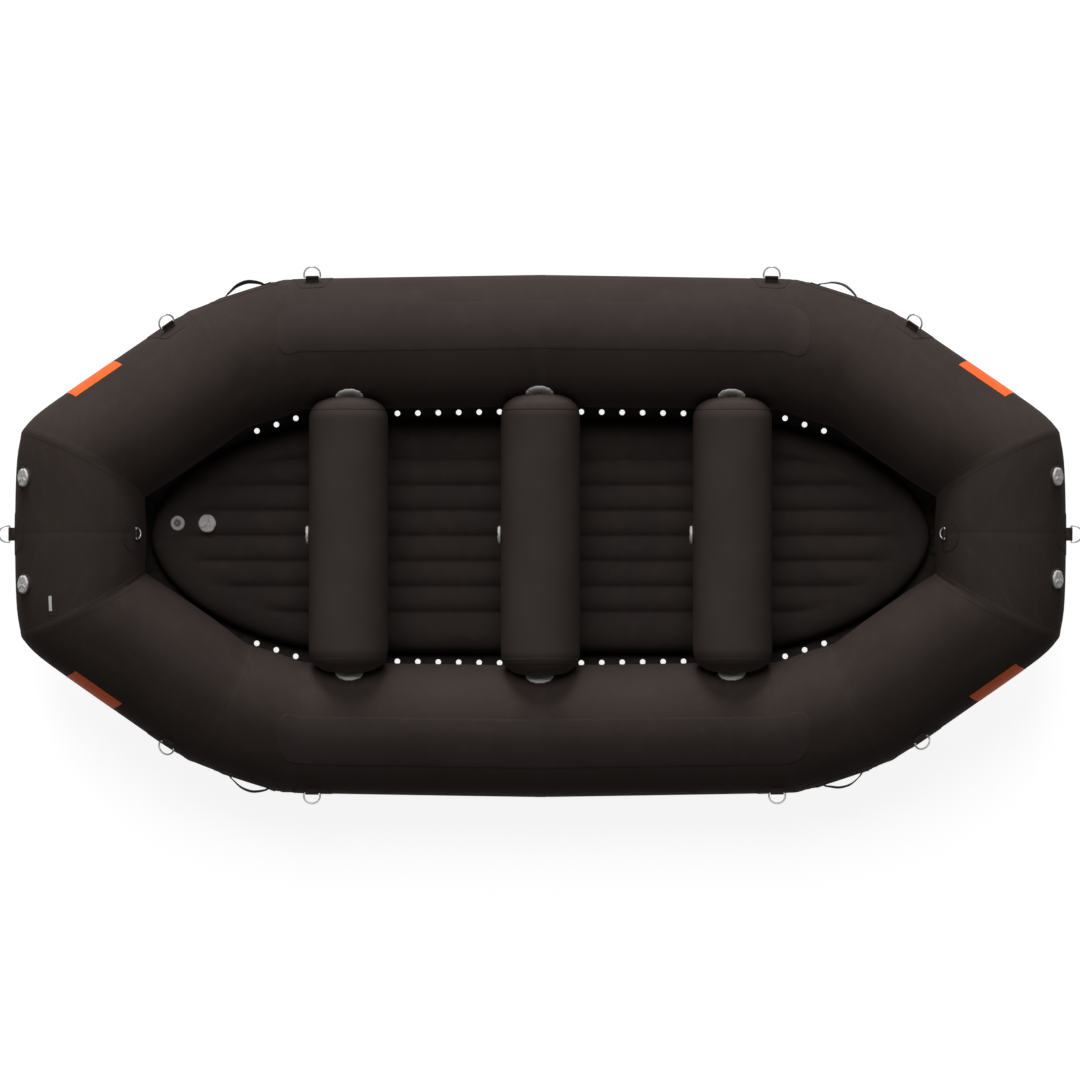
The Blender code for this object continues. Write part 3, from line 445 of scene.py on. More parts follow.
def skinOffset(stretch, share, angle, length):
    turn = math.radians(angle)
    inward = 0.25 + 0.75 * max(0, -math.cos(turn))
    # a side bows out most amidships and an end at its middle, where their stretches start and finish
    along = {sideStretch: (1 + share) / 2, endStretch: share / 2}.get(stretch, share)
    swell = max(0, math.sin(math.pi * along)) ** 0.5
    offset = hull["bulgeMm"][stretch] * swell * max(0, math.cos(turn)) ** 0.5
    for seam, distance, past in ((stretch, share * length, 1), (stretch + 1, (1 - share) * length, 0)):
        pinch, reach, pucker = hull["seams"][seam]
        near = math.exp(-((distance / (reach * mm)) ** 2))
        crease = noise.noise(Vector((math.cos(turn), math.sin(turn), seam * 0.7)) * 9)
        offset += near * (pucker * inward * crease - pinch)
        corner = hull["cornerMm"][seam] * max(0, math.cos(turn)) ** 1.5
        offset -= corner * math.exp(-distance / (hull["cornerReachMm"][past] * mm))
    return offset * mm


def skinPoint(stretch, share, angle, lift=0.0):
    marks = seamMarks(angle)
    length = marks[stretch + 1] - marks[stretch]
    radius = hull["radius"] + skinOffset(stretch, share, angle, length) + lift
    a = seamPoint(stretch, stretch, angle, radius)
    return a.lerp(seamPoint(stretch + 1, stretch, angle, radius), share)


def mirrored(point, end, side):
    return Vector((point.x * ends[end], point.y * sides[side], point.z))


def onHull(distance, angle, lift=0.0, end="bow", side="port"):
    # a point on the hull's skin; a distance past amidships or past the middle of an end runs on round
    marks = seamMarks(angle)
    flipX = -1 if distance < 0 else 1
    flipY = -1 if abs(distance) > marks[-1] else 1
    run = abs(distance) if flipY > 0 else 2 * marks[-1] - abs(distance)
    stretch = max(i for i in range(4) if marks[i] <= run)
    share = (run - marks[stretch]) / (marks[stretch + 1] - marks[stretch])
    point = skinPoint(stretch, share, angle, lift)
    return mirrored(Vector((point.x * flipX, point.y * flipY, point.z)), end, side)


def seatDistance(stretch, share, angle):
    # the wall distance that lies beside this share of a stretch of the centre line
    start, along = stretches[stretch][:2]
    foot = start + wallDirection(stretch, angle) * hull["radius"]
    beside = share * (tubeCorners[stretch + 1] - tubeCorners[stretch]).length
    before = (seamPoint(stretch, stretch, angle, hull["radius"]) - foot).dot(along)
    return seamMarks(angle)[stretch] + beside - before


def seatMatrix(stretch, share, angle, end, side):
    # on the wall: X along the tube, Z out of it
    start, along = stretches[stretch][:2]
    beside = share * (tubeCorners[stretch + 1] - tubeCorners[stretch]).length
    origin = mirrored(start + along * beside + wallDirection(stretch, angle) * hull["radius"], end, side)
    out = mirrored(wallDirection(stretch, angle), end, side)
    return frameMatrix(origin, mirrored(along, end, side), out)


def frameMatrix(origin, along, out):
    across = out.cross(along).normalized()
    matrix = Matrix((across.cross(out).normalized(), across, out.normalized())).transposed().to_4x4()
    matrix.translation = origin
    return matrix


def wallFlip(end, side):
    return ends[end] * sides[side] < 0


# the places round a tube, and the length of cloth from one to the next
wallAngles = [360 * i / hull["around"] for i in range(hull["around"])]
wallStep = 2 * math.pi * hull["radius"] / hull["around"]


def makeHullSkins():
    for end in ends:
        for side in sides:
            places = []
            for stretch, count in enumerate(hull["panelRings"]):
                for step in range(count + (stretch == endStretch)):
                    places.append((stretch, (1 - math.cos(math.pi * step / count)) / 2))
            rows = [[mirrored(skinPoint(s, share, a), end, side) for a in wallAngles] for s, share in places]

            def uvAt(a, b, places=places):
                stretch, share = places[a]
                marks = seamMarks(wallAngles[b % len(wallAngles)])
                return marks[stretch] + share * (marks[stretch + 1] - marks[stretch]), b * wallStep

            bm = sheetMesh(rows, uvAt, wrap=True, flip=wallFlip(end, side))
            skin = newPiece(f"hullSkin_{side}_{end}", bm, fabric["hull"])
            rideHull(skin, f"chamber_{side}_{end}")


# the seam at the middle of each end is butted, with its tape inside
seamTape = {"widthsMm": [44, 50, 40, 44], "thicknessMm": 0.7, "rampMm": 1.2}


def makeSeamTapes():
    for end in ends:
        for side in sides:
            for seam, width in enumerate(seamTape["widthsMm"]):
                # the tape amidships crosses into the next quarter
                if seam == 0 and end == "stern":
                    continue
                half = width / 2 * mm
                ramp = seamTape["rampMm"] * mm
                shifts = [-half, ramp - half, -half / 2, 0, half / 2, half - ramp, half]
                lifts = [0.1] + [seamTape["thicknessMm"]] * 5 + [0.1]
                rows = [
                    [onHull(seamMarks(a)[seam] + shift, a, lift * mm, end, side) for a in wallAngles]
                    for shift, lift in zip(shifts, lifts)
                ]
                bm = sheetMesh(rows, lambda a, b: (shifts[a], b * wallStep), wrap=True, flip=wallFlip(end, side))
                tape = newPiece(f"seamTape_{side}_{end}_{seam}", bm, fabric["tape"])
                tape.data.set_sharp_from_angle(angle=math.radians(25))
                rideHull(tape)


chafe = {
    "fromDistance": -1.072, "toDistance": 1.098, "low": 55, "high": 99, "cornerMm": 70, "thicknessMm": 1.2,
    "columns": 24, "rings": 140,
}


def makeChafeStrips():
    halfWidth = math.radians(chafe["high"] - chafe["low"]) * hull["radius"] / 2
    corner = chafe["cornerMm"] * mm
    middle = (chafe["fromDistance"] + chafe["toDistance"]) / 2
    half = (chafe["toDistance"] - chafe["fromDistance"]) / 2
    columns, ringCount = chafe["columns"], chafe["rings"]
    for side in sides:
        turns = [chafe["low"] + (chafe["high"] - chafe["low"]) * i / columns for i in range(columns + 1)]

        def inset(i):
            past = max(0, abs(2 * i / columns - 1) * halfWidth - (halfWidth - corner))
            return corner - math.sqrt(max(0, corner**2 - past**2))

        rows = [
            [onHull(middle + (2 * r / ringCount - 1) * (half - inset(i)), turn, 0.5 * mm, "bow", side)
             for i, turn in enumerate(turns)]
            for r in range(ringCount + 1)
        ]
        arc = 2 * halfWidth / columns
        bm = sheetMesh(rows, lambda a, b: (2 * half * a / ringCount, b * arc), flip=wallFlip("bow", side))
        strip = newPiece(f"chafeStrip_{side}", bm, fabric["chafe"])
        rideHull(thicken(strip, chafe["thicknessMm"] * mm, bevel=0.5 * mm))


baffle = {"clearMm": 4, "flangeMm": 25, "dishMm": 18, "thicknessMm": 1.2}


def makeBaffles():
    # a dished cloth diaphragm between two chambers, with its flange glued round the inside of the tube
    radius = hull["radius"] / mm - baffle["clearMm"]
    for name in ("port", "starboard", "bow", "stern"):
        low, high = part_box(f"baffle_{name}")
        across = Vector((1, 0, 0)) if name in sides else Vector((0, 1, 0))
        matrix = frameMatrix((low + high) / 2, Vector((0, 0, 1)), across)
        profile = [(radius * i / 10, -baffle["dishMm"] * (1 - (i / 10) ** 2)) for i in range(11)]
        profile += [(radius + 0.6, 3), (radius + 0.8, baffle["flangeMm"])]
        diaphragm = lathe(f"diaphragm_{name}", matrix, profile, fabric["inside"], 96)
        rideHull(thicken(diaphragm, baffle["thicknessMm"] * mm, offset=0), f"baffle_{name}")


makeHullSkins()
makeSeamTapes()
makeChafeStrips()
makeBaffles()
print("hull skins, seam tapes, chafe strips and diaphragms made")


# Floor: an inflated mattress with channels between its I-beams, rolled over at the edge
floorSize = {
    "crown": 0.060, "web": 0.0375, "pitch": 0.103, "websEachSide": 3, "rim": 0.090,
    "halfLength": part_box("floor_skin")[1].x, "halfBeam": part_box("floor_skin")[1].y,
    "straightShare": 0.4735, "power": 1.85, "risePower": 1.6, "riseStartShare": 0.48,
    "stations": 110, "channelSteps": 12, "outerSteps": 10, "rollSteps": 10, "fade": 0.13,
    "valveFlat": 0.037, "valveBlend": 0.060,
}
floorSize["straight"] = floorSize["straightShare"] * floorSize["halfLength"]
floorSize["height"] = hull["radius"] * (1 - math.sin(math.radians(45)))
floorSize["riseStart"] = floorSize["riseStartShare"] * hull["halfLength"]
floorSize["riseReach"] = hull["halfLength"] - hull["radius"] * math.cos(math.radians(45))


def floorRise(x):
    share = max(0, (abs(x) - floorSize["riseStart"]) / (floorSize["riseReach"] - floorSize["riseStart"]))
    return hull["rise"] * share ** floorSize["risePower"]


def floorOutline(turn, inset):
    power = 2 / floorSize["power"]
    cosine, sine = math.cos(math.radians(turn)), math.sin(math.radians(turn))
    reach = floorSize["halfLength"] - floorSize["straight"] - inset
    x = floorSize["straight"] + reach * max(cosine, 0) ** power
    return x, math.copysign((floorSize["halfBeam"] - inset) * abs(sine) ** power, sine)


def outlineTurn(y, inset):
    share = min(1, abs(y) / (floorSize["halfBeam"] - inset))
    return math.copysign(math.degrees(math.asin(share ** (floorSize["power"] / 2))), y)


def channelHeight(y, core):
    # round crowns between the webs; the outer channels only have a web on their inner side
    lastWeb = floorSize["websEachSide"] * floorSize["pitch"]
    if abs(y) < lastWeb:
        half = floorSize["pitch"] / 2
        across = (abs(y) % floorSize["pitch"]) - half
    else:
        half = core - lastWeb
        across = half - (abs(y) - lastWeb)
    sag = floorSize["crown"] - floorSize["web"]
    radius = (half**2 + sag**2) / (2 * sag)
    return floorSize["web"] - (radius - sag) + math.sqrt(max(0, radius**2 - across**2))


def floorColumns(core):
    lastWeb = floorSize["websEachSide"] * floorSize["pitch"]
    count = 2 * floorSize["websEachSide"] * floorSize["channelSteps"]
    inner = [-lastWeb + 2 * lastWeb * i / count for i in range(count + 1)]
    steps = floorSize["outerSteps"]
    outer = [lastWeb + (core - lastWeb) * (i + 1) / steps for i in range(steps)]
    return [-y for y in reversed(outer)] + inner + outer


def valveSeats():
    seats = []
    for name in ("valve_cap_floor_turn", "relief_valve_press"):
        joint = joints[name]
        normal = Vector(joint["axis"]) * (1 if name.endswith("turn") else -1)
        seats.append((Vector(joint["pos_m"]), normal))
    return seats


def floorPoint(x, y, height, seats):
    point = Vector((x, y, floorSize["height"] + floorRise(x) + height))
    if height > 0:
        for origin, normal in seats:
            away = (Vector((x, y, origin.z)) - origin).xy.length
            flat = (floorSize["valveBlend"] - away) / (floorSize["valveBlend"] - floorSize["valveFlat"])
            flat = max(0, min(1, flat)) ** 2
            level = origin.z - ((x - origin.x) * normal.x + (y - origin.y) * normal.y) / normal.z
            point.z += (level - point.z) * flat
    return point


def makeFloor():
    core = floorSize["halfBeam"] - floorSize["rim"]
    columns = floorColumns(core)
    seats = valveSeats()
    stations = floorSize["stations"]
    shares = [math.sin(math.pi / 2 * (2 * i / stations - 1)) for i in range(stations + 1)]
    # rows of (x, y, height) over the top, and then rings of the roll
    flat = []
    for share in shares:
        row = []
        for y in columns:
            reach = floorOutline(outlineTurn(y, floorSize["rim"]), floorSize["rim"])[0]
            x = share * reach
            fade = max(0, min(1, (reach - abs(x)) / floorSize["fade"]))
            fade = fade * fade * (3 - 2 * fade)
            height = channelHeight(y, core)
            row.append((x, y, floorSize["crown"] + (height - floorSize["crown"]) * fade))
        flat.append(row)
    edge = flat[0] + [row[-1] for row in flat[1:]] + flat[-1][-2::-1] + [row[0] for row in flat[-2:0:-1]]
    rings = [edge]
    for step in range(floorSize["rollSteps"] - 1, -1, -1):
        roll = math.pi / 2 * step / floorSize["rollSteps"]
        inset = floorSize["rim"] * (1 - math.cos(roll))
        ring = []
        for x, y, height in edge:
            newX, newY = floorOutline(outlineTurn(y, floorSize["rim"]), inset)
            if abs(x) < floorSize["straight"]:
                newX = abs(x)
            # the cloth puckers where the roll turns round the tips
            pucker = noise.noise(Vector((newX * 14, newY * 14, 3))) * max(0, abs(newX) - floorSize["straight"])
            height = floorSize["crown"] * math.sin(roll) * (1 + 0.10 * pucker)
            ring.append((math.copysign(newX, x), newY, height))
        rings.append(ring)
    bm = bmesh.new()
    for sign in (1, -1):
        for rows, wrap in ((flat, False), (rings, True)):
            points = [[floorPoint(x, y, sign * height, seats) for x, y, height in row] for row in rows]
            addFaces(bm, points, lambda place: place.xy, wrap)
    skin = newPiece("floorSkin", cleanMesh(bm, 0.05), fabric["floor"])
    rideHull(skin, "floor_skin")


beam = {"clearMm": 2.5, "flangeMm": 14, "thicknessMm": 1.0, "steps": 60}


def makeFloorWebs():
    # the sewn I-beams: a cloth web under each groove, with a flange glued to each skin
    core, steps = floorSize["rim"], beam["steps"]
    half, wide = floorSize["web"] - beam["clearMm"] * mm, beam["flangeMm"] * mm
    strips = [((0, -half), (0, half)), ((-wide, half), (wide, half)), ((-wide, -half), (wide, -half))]
    bm = bmesh.new()
    for number in range(-floorSize["websEachSide"], floorSize["websEachSide"] + 1):
        y = number * floorSize["pitch"]
        reach = floorOutline(outlineTurn(y, core), core)[0] - floorSize["fade"]
        for strip in strips:
            rows = []
            for step in range(steps + 1):
                x = reach * (2 * step / steps - 1)
                base = floorSize["height"] + floorRise(x)
                rows.append([(x, y + dy, base + dz) for dy, dz in strip])
            addFaces(bm, rows, lambda place: (place.x, place.y + place.z))
    webs = newPiece("floorWebs", bm, fabric["inside"])
    rideHull(thicken(webs, beam["thicknessMm"] * mm, offset=0), "floor_i_beams")


flap = {
    "angle": 225, "thicknessMm": 1.5, "turns": 260, "steps": 12, "straightSteps": 12, "gluePoints": 90,
    "holeMm": 22.5, "holePitch": 0.0834, "holeInset": 0.0125, "holesEachWay": 14, "holeCorners": 24,
    "tuck": 25, "foldMm": 10, "foldFrom": 0.95, "foldRamp": 0.25,
    # the strip's widest place and its length along the glue line, and its area with the holes out
    "cutSize": (0.194, 8.14), "cutArea": 1.05,
}


def glueLine():
    # where the flap is glued to the tubes' lower inboard wall, port amidships to starboard amidships
    marks = seamMarks(flap["angle"])
    count = flap["gluePoints"]
    line = [onHull(marks[-1] * i / count, flap["angle"], 1 * mm) for i in range(count + 1)]
    return line + [Vector((p.x, -p.y, p.z)) for p in line[-2::-1]]


def meetLine(start, direction, line):
    # where a level ray first meets the line, seen from above
    for a, b in zip(line, line[1:]):
        run = b - a
        cross = direction.x * run.y - direction.y * run.x
        if abs(cross) < mm * mm:
            continue
        reach = ((a.x - start.x) * run.y - (a.y - start.y) * run.x) / cross
        share = ((a.x - start.x) * direction.y - (a.y - start.y) * direction.x) / cross
        if reach > 0 and -0.01 <= share <= 1.01:
            return a + run * share
    return None


def holePlaces():
    # evenly spaced, just inside the tube's inner edge seen from above
    offset = hull["radius"] + flap["holeInset"]
    (sideStart, ahead), (corner, bent) = stretches[sideStretch][:2], stretches[shoulder][:2]
    bent = Vector((bent.x, bent.y, 0)).normalized()
    begin = sideStart + Vector((ahead.y, -ahead.x, 0)) * offset
    begin -= ahead * (begin.x / ahead.x)
    kink = corner + Vector((bent.y, -bent.x, 0)) * offset + bent * offset * math.tan(ahead.angle(bent) / 2)
    straight = (kink - begin).length
    holes = []
    for number in range(-flap["holesEachWay"], flap["holesEachWay"] + 1):
        distance = abs(number) * flap["holePitch"]
        place = begin + ahead * distance if distance < straight else kink + bent * (distance - straight)
        holes.append((math.copysign(place.x, number), place.y))
    return holes


def flapPlaces():
    # places along the floor's edge, bow half: the turn there, the point and the way out
    edge = floorSize["rim"] * (1 - math.cos(math.radians(flap["tuck"])))
    places = []
    for number in range(flap["turns"] + 1):
        turn = 90 - 180 * number / flap["turns"]
        ahead, behind = floorOutline(min(turn + 1, 90), 0), floorOutline(max(turn - 1, -90), 0)
        places.append((turn, floorOutline(turn, edge), (ahead[1] - behind[1], behind[0] - ahead[0])))
    # the tubes bow out a little amidships, so the straight part has places of its own
    (x, y), count = places[0][1], flap["straightSteps"]
    middle = [(90, (x * step / count, y), (0, 1)) for step in range(count)]
    return middle + places + [(-turn, (x, -y), (0, -1)) for turn, (x, y), _ in reversed(middle)]


def makeFlap():
    line = glueLine()
    # the cloth starts a little way round the underside of the floor's rolled edge
    drop = floorSize["crown"] * math.sin(math.radians(flap["tuck"]))
    half = []
    for turn, (x, y), across in flapPlaces():
        inner = Vector((x, y, floorSize["height"] + floorRise(x) - drop))
        outer = meetLine(Vector((x, y, 0)), Vector((*across, 0)), line)
        points = []
        for step in range(flap["steps"] + 1):
            share = step / flap["steps"]
            point = inner.lerp(outer, share)
            # slack cloth gathers into folds round the ends
            past = max(0, min(1, (abs(point.x) - flap["foldFrom"]) / flap["foldRamp"]))
            slack = past * math.sin(math.pi * share)
            point.z += flap["foldMm"] * mm * slack * noise.noise(Vector((turn * 0.55, share * 3.0, 1.7)))
            points.append(point)
        half.append(points)
    rows = half + [[Vector((-p.x, p.y, p.z)) for p in row] for row in half[-2:0:-1]]
    rows.append(rows[0])
    bm = bmesh.new()
    addFaces(bm, rows, lambda place: place.xy)
    sheet = newPiece("bailingFlap", cleanMesh(bm, 0.05), fabric["flap"])
    thicken(sheet, flap["thicknessMm"] * mm, offset=0)
    cutters = bmesh.new()
    for x, y in holePlaces():
        for sign in (1, -1):
            middle = Matrix.Translation((x, y * sign, floorSize["height"]))
            radius = flap["holeMm"] / 2 * mm
            bmesh.ops.create_cone(
                cutters, cap_ends=True, segments=flap["holeCorners"], radius1=radius, radius2=radius,
                depth=hull["radius"], matrix=middle,
            )
    cutter = newPiece("holeCutter", cutters, fabric["flap"])
    cut = sheet.modifiers.new("bailingHoles", "BOOLEAN")
    cut.object = cutter
    cut.solver = "EXACT"
    graph = bpy.context.evaluated_depsgraph_get()
    baked = bpy.data.meshes.new_from_object(sheet.evaluated_get(graph))
    sheet.modifiers.clear()
    sheet.data = baked
    baked.shade_smooth()
    baked.set_sharp_from_angle(angle=math.radians(40))
    bpy.data.objects.remove(cutter)
    rideHull(sheet, "bailing_flap")


makeFloor()
makeFloorWebs()
makeFlap()
print("floor and bailing flap made")


# Thwarts, pressed against the side tubes, each over a moulded disc at both ends
thwart = {
    "radius": 0.1605, "domeMm": 100, "across": 96, "along": 60, "domeSteps": 30, "elevation": 33.75,
    # the dome's round, as powers of the circle's cosine and sine
    "roundness": (0.667, 0.833), "seamMm": 532, "seamReachMm": 22, "seamPinchMm": 1.2, "seamPuckerMm": 0.9,
    "tapeMm": 30, "places": {"bow": 0.779, "mid": 0.0, "stern": -0.779},
}
thwart["height"] = hull["radius"] * (1 + math.sin(math.radians(thwart["elevation"])))


def tubeAxisY(x):
    start, along = stretches[sideStretch][:2]
    return start.y + along.y / along.x * abs(x)


def wallY(x, z, gap=1.0):
    # how far out the side tube's inboard wall is at this height
    level = max(0, hull["radius"] ** 2 - (z - hull["radius"]) ** 2)
    return tubeAxisY(x) - math.sqrt(level) - gap * mm if level > 0 else tubeAxisY(x)


def thwartPoint(x, y, radius, turn):
    point = Vector((x + radius * math.cos(turn), y, thwart["height"] + radius * math.sin(turn)))
    limit = wallY(point.x, point.z)
    point.y = max(-limit, min(limit, y))
    return point


def thwartRadius(y, reach):
    # full in the middle, and rounded off towards the ends
    depth = (abs(y) - (reach - thwart["domeMm"] * mm)) / (thwart["domeMm"] * mm)
    if depth <= 0:
        return thwart["radius"]
    inward, outward = thwart["roundness"]
    lift = math.asin(min(1, depth) ** (1 / outward))
    return thwart["radius"] * max(math.cos(lift), 0) ** inward


def makeThwarts():
    turns = [2 * math.pi * i / thwart["across"] for i in range(thwart["across"])]
    for name, x in thwart["places"].items():
        reach = tubeAxisY(x) - hull["radius"] * math.cos(math.radians(thwart["elevation"])) - 1 * mm
        dome = thwart["domeMm"] * mm
        profile = []
        for step in range(thwart["domeSteps"] + 1):
            lift = math.pi / 2 * (1 - step / thwart["domeSteps"])
            y = reach - dome + dome * math.sin(lift) ** thwart["roundness"][1]
            profile.append((y, thwartRadius(y, reach)))
        straight, count = reach - dome, thwart["along"]
        profile += [(straight * (1 - 2 * i / count), thwart["radius"]) for i in range(1, count)]
        profile += [(-y, radius) for y, radius in reversed(profile[: thwart["domeSteps"] + 1])]
        rows = []
        for y, radius in profile:
            seam = math.exp(-(((abs(y) / mm - thwart["seamMm"]) / thwart["seamReachMm"]) ** 2))
            row = []
            for turn in turns:
                crease = noise.noise(Vector((math.cos(turn) * 7, math.sin(turn) * 7, y * 2 + x)))
                drawn = (thwart["seamPuckerMm"] * crease - thwart["seamPinchMm"]) * mm * seam
                row.append(thwartPoint(x, y, max(radius + drawn, 0), turn))
            rows.append(row)
        arc = 2 * math.pi * thwart["radius"] / thwart["across"]
        bm = sheetMesh(rows, lambda a, b: (profile[a][0], b * arc), wrap=True)
        skin = newPiece(f"thwartSkin_{name}", cleanMesh(bm, 0.05), fabric["thwart"])
        rideHull(skin, f"thwart_{name}")
        for side in sides:
            makeThwartTape(name, x, side, turns, arc, reach)
            makeThwartDisc(name, x, side)


def makeThwartTape(name, x, side, turns, arc, reach):
    half = thwart["tapeMm"] / 2 * mm
    middle = (thwart["seamMm"] - thwart["tapeMm"] / 2) * mm
    shifts = [-half, 1.2 * mm - half, -half / 2, 0, half / 2, half - 1.2 * mm, half]
    lifts = [-1.2, 0.2, 0.3, 0.3, 0.3, 0.2, -1.2]
    rows = []
    for shift, lift in zip(shifts, lifts):
        y = middle + shift
        radius = thwartRadius(y, reach) + lift * mm
        rows.append([thwartPoint(x, y * sides[side], radius, turn) for turn in turns])
    bm = sheetMesh(rows, lambda a, b: (shifts[a], b * arc), wrap=True)
    rideHull(newPiece(f"thwartTape_{name}_{side}", cleanMesh(bm), fabric["tape"]))


disc = {"diameterMm": 114, "thicknessMm": 10, "grips": 12, "gripMm": 2.2}


def makeThwartDisc(name, x, side):
    end = "bow" if x >= 0 else "stern"
    share = abs(x) / stretches[sideStretch][1].x / (tubeCorners[1] - tubeCorners[0]).length
    matrix = seatMatrix(sideStretch, share, 180 - thwart["elevation"], end, side)
    r, t = disc["diameterMm"] / 2, disc["thicknessMm"]
    profile = [
        (0, t - 1), (r * 0.4, t - 1), (r * 0.46, t), (r * 0.8, t), (r * 0.92, t - 1.2), (r, t - 4), (r, 1),
        (r - 1, 0.4), (0, 0.4),
    ]

    def gripped(radius, turn, height):
        notch = disc["gripMm"] * (0.5 + 0.5 * math.cos(disc["grips"] * turn)) ** 3
        return (radius - notch if radius > r * 0.85 else radius), 0

    rideHull(lathe(f"thwartDisc_{name}_{side}", matrix, profile, plastic["pale"], 144, gripped))


makeThwarts()
print("thwarts and discs made")


# Places on the wall: u runs along the tube and v around it, in metres from the spot's middle
def wallPlace(spot):
    stretch, share, angle, end, side = spot

    def place(u, v, lift=0.0):
        turn = angle + math.degrees(v / hull["radius"])
        return onHull(seatDistance(stretch, share, turn) + u, turn, lift, end, side)

    return place


def wallPatch(name, spot, halfWidth, halfLengthAt, thickness, material, low=None, lift=0.3 * mm):
    # a patch that lies on the wall, from v = low to v = low + 2 * halfWidth
    place = wallPlace(spot)
    low = -halfWidth if low is None else low
    acrossSteps, alongSteps = 16, 22
    across = [(1 - math.cos(math.pi * i / acrossSteps)) / 2 for i in range(acrossSteps + 1)]
    along = [-math.cos(math.pi * i / alongSteps) for i in range(alongSteps + 1)]
    rows = [[place(s * halfLengthAt(t), low + 2 * halfWidth * t, lift) for t in across] for s in along]

    def uvAt(a, b):
        return along[a] * halfLengthAt(across[b]), low + 2 * halfWidth * across[b]

    patch = newPiece(name, sheetMesh(rows, uvAt, flip=wallFlip(spot[3], spot[4])), material)
    return thicken(patch, thickness, bevel=min(0.5 * mm, thickness * 0.4))


def roundedEnds(halfLength, halfWidth, corner):
    # half length at each share across, for a rectangle with rounded corners
    def halfLengthAt(t):
        past = max(0, abs(2 * t - 1) * halfWidth - (halfWidth - corner))
        return halfLength - corner + math.sqrt(max(0, corner**2 - past**2))

    return halfLengthAt


def roundPatch(radius):
    return lambda t: max(math.sqrt(max(0, 1 - (2 * t - 1) ** 2)) * radius, 0.5 * mm)


stitch = {"mm": 3.4, "gapMm": 1.9, "halfThickMm": 0.55, "topShare": 0.6, "corners": 8}


def stitchRows(name, runs):
    # short rounded threads along each run; a run is (start, finish, outward)
    bm = bmesh.new()
    half, thick, corners = stitch["mm"] / 2 * mm, stitch["halfThickMm"] * mm, stitch["corners"]
    for start, finish, outward in runs:
        ahead = (finish - start).normalized()
        across = outward.cross(ahead).normalized()
        count = max(1, int((finish - start).length / ((stitch["mm"] + stitch["gapMm"]) * mm)))
        for number in range(count):
            middle = start + (finish - start) * ((number + 0.5) / count)
            ring = []
            for corner in range(corners):
                turn = 2 * math.pi * (corner + 0.5) / corners
                place = middle + ahead * math.cos(turn) * half + across * math.sin(turn) * thick
                ring.append(bm.verts.new(place))
            raised = middle + outward.normalized() * thick
            top = [bm.verts.new(raised + (v.co - middle) * stitch["topShare"]) for v in ring]
            for a in range(corners):
                b = (a + 1) % corners
                bm.faces.new((ring[a], ring[b], top[b], top[a]))
            bm.faces.new(top)
    obj = newPiece(name, bm, plastic["thread"])
    rideHull(obj)


def wireLoop(name, matrix, path, diameter, material, steps=14):
    # round wire bent along a closed path in its own X-Z plane
    rows = []
    count = len(path)
    for i, point in enumerate(path):
        ahead = (path[(i + 1) % count] - path[i - 1]).normalized()
        side = Vector((0, 1, 0))
        across = ahead.cross(side)
        turns = [2 * math.pi * step / steps for step in range(steps)]
        rows.append([(point + (math.cos(t) * across + math.sin(t) * side) * diameter / 2) * mm for t in turns])
    rows.append(rows[0])
    bm = sheetMesh(rows, lambda a, b: (a / count, b / steps), wrap=True)
    obj = newPiece(name, cleanMesh(bm, 0.02), material)
    obj.matrix_world = matrix
    return obj


# D-rings, each in a webbing keeper on a glued patch
ringKinds = {
    "outer": {"insideMm": 59, "legMm": 11.5, "webbingMm": 53, "reachMm": 22, "patchMm": 172, "taperMm": 36,
              "lowMm": -185, "highMm": 51},
    "end": {"insideMm": 59, "legMm": 11.5, "webbingMm": 53, "reachMm": 22, "patchMm": 172, "taperMm": 36,
            "lowMm": -135, "highMm": 96},
    "inner": {"insideMm": 38, "legMm": 8, "webbingMm": 34.5, "reachMm": 9, "patchMm": 146, "taperMm": 0,
              "lowMm": -73, "highMm": 73},
}
wire = {"mm": 7, "cornerMm": 4, "keeperMm": 2, "patchThicknessMm": 1.6}
ringPlaces = {
    "side_bow_port": ("outer", sideStretch, 0.934, 22.5, "bow", "port"),
    "side_stern_port": ("outer", sideStretch, 0.922, 22.5, "stern", "port"),
    "side_bow_starboard": ("outer", sideStretch, 0.955, 22.5, "bow", "starboard"),
    "side_stern_starboard": ("outer", sideStretch, 0.922, 22.5, "stern", "starboard"),
    "quarter_bow_port": ("outer", quarter, 0.136, 22.5, "bow", "port"),
    "quarter_stern_port": ("outer", quarter, 0.136, 22.5, "stern", "port"),
    "quarter_bow_starboard": ("outer", quarter, 0.190, 22.5, "bow", "starboard"),
    "quarter_stern_starboard": ("outer", quarter, 0.134, 22.5, "stern", "starboard"),
    "bow_outer": ("end", endStretch, 1, 0, "bow", "port"),
    "stern_outer": ("end", endStretch, 1, 0, "stern", "port"),
    "bow_inner": ("inner", endStretch, 1, 135, "bow", "port"),
    "stern_inner": ("inner", endStretch, 1, 135, "stern", "port"),
}


def ringPath(kind):
    half = (kind["insideMm"] + wire["mm"]) / 2
    corner = wire["cornerMm"]
    path = [Vector((-half + corner + (2 * half - 2 * corner) * i / 8, 0, 0)) for i in range(9)]
    for i in range(1, 6):
        turn = math.pi / 2 * i / 6
        path.append(Vector((half - corner + corner * math.sin(turn), 0, corner - corner * math.cos(turn))))
    for i in range(41):
        turn = math.pi * i / 40
        path.append(Vector((half * math.cos(turn), 0, kind["legMm"] + half * math.sin(turn))))
    for i in range(5, 0, -1):
        turn = math.pi / 2 * i / 6
        path.append(Vector((-half + corner - corner * math.sin(turn), 0, corner - corner * math.cos(turn))))
    return path


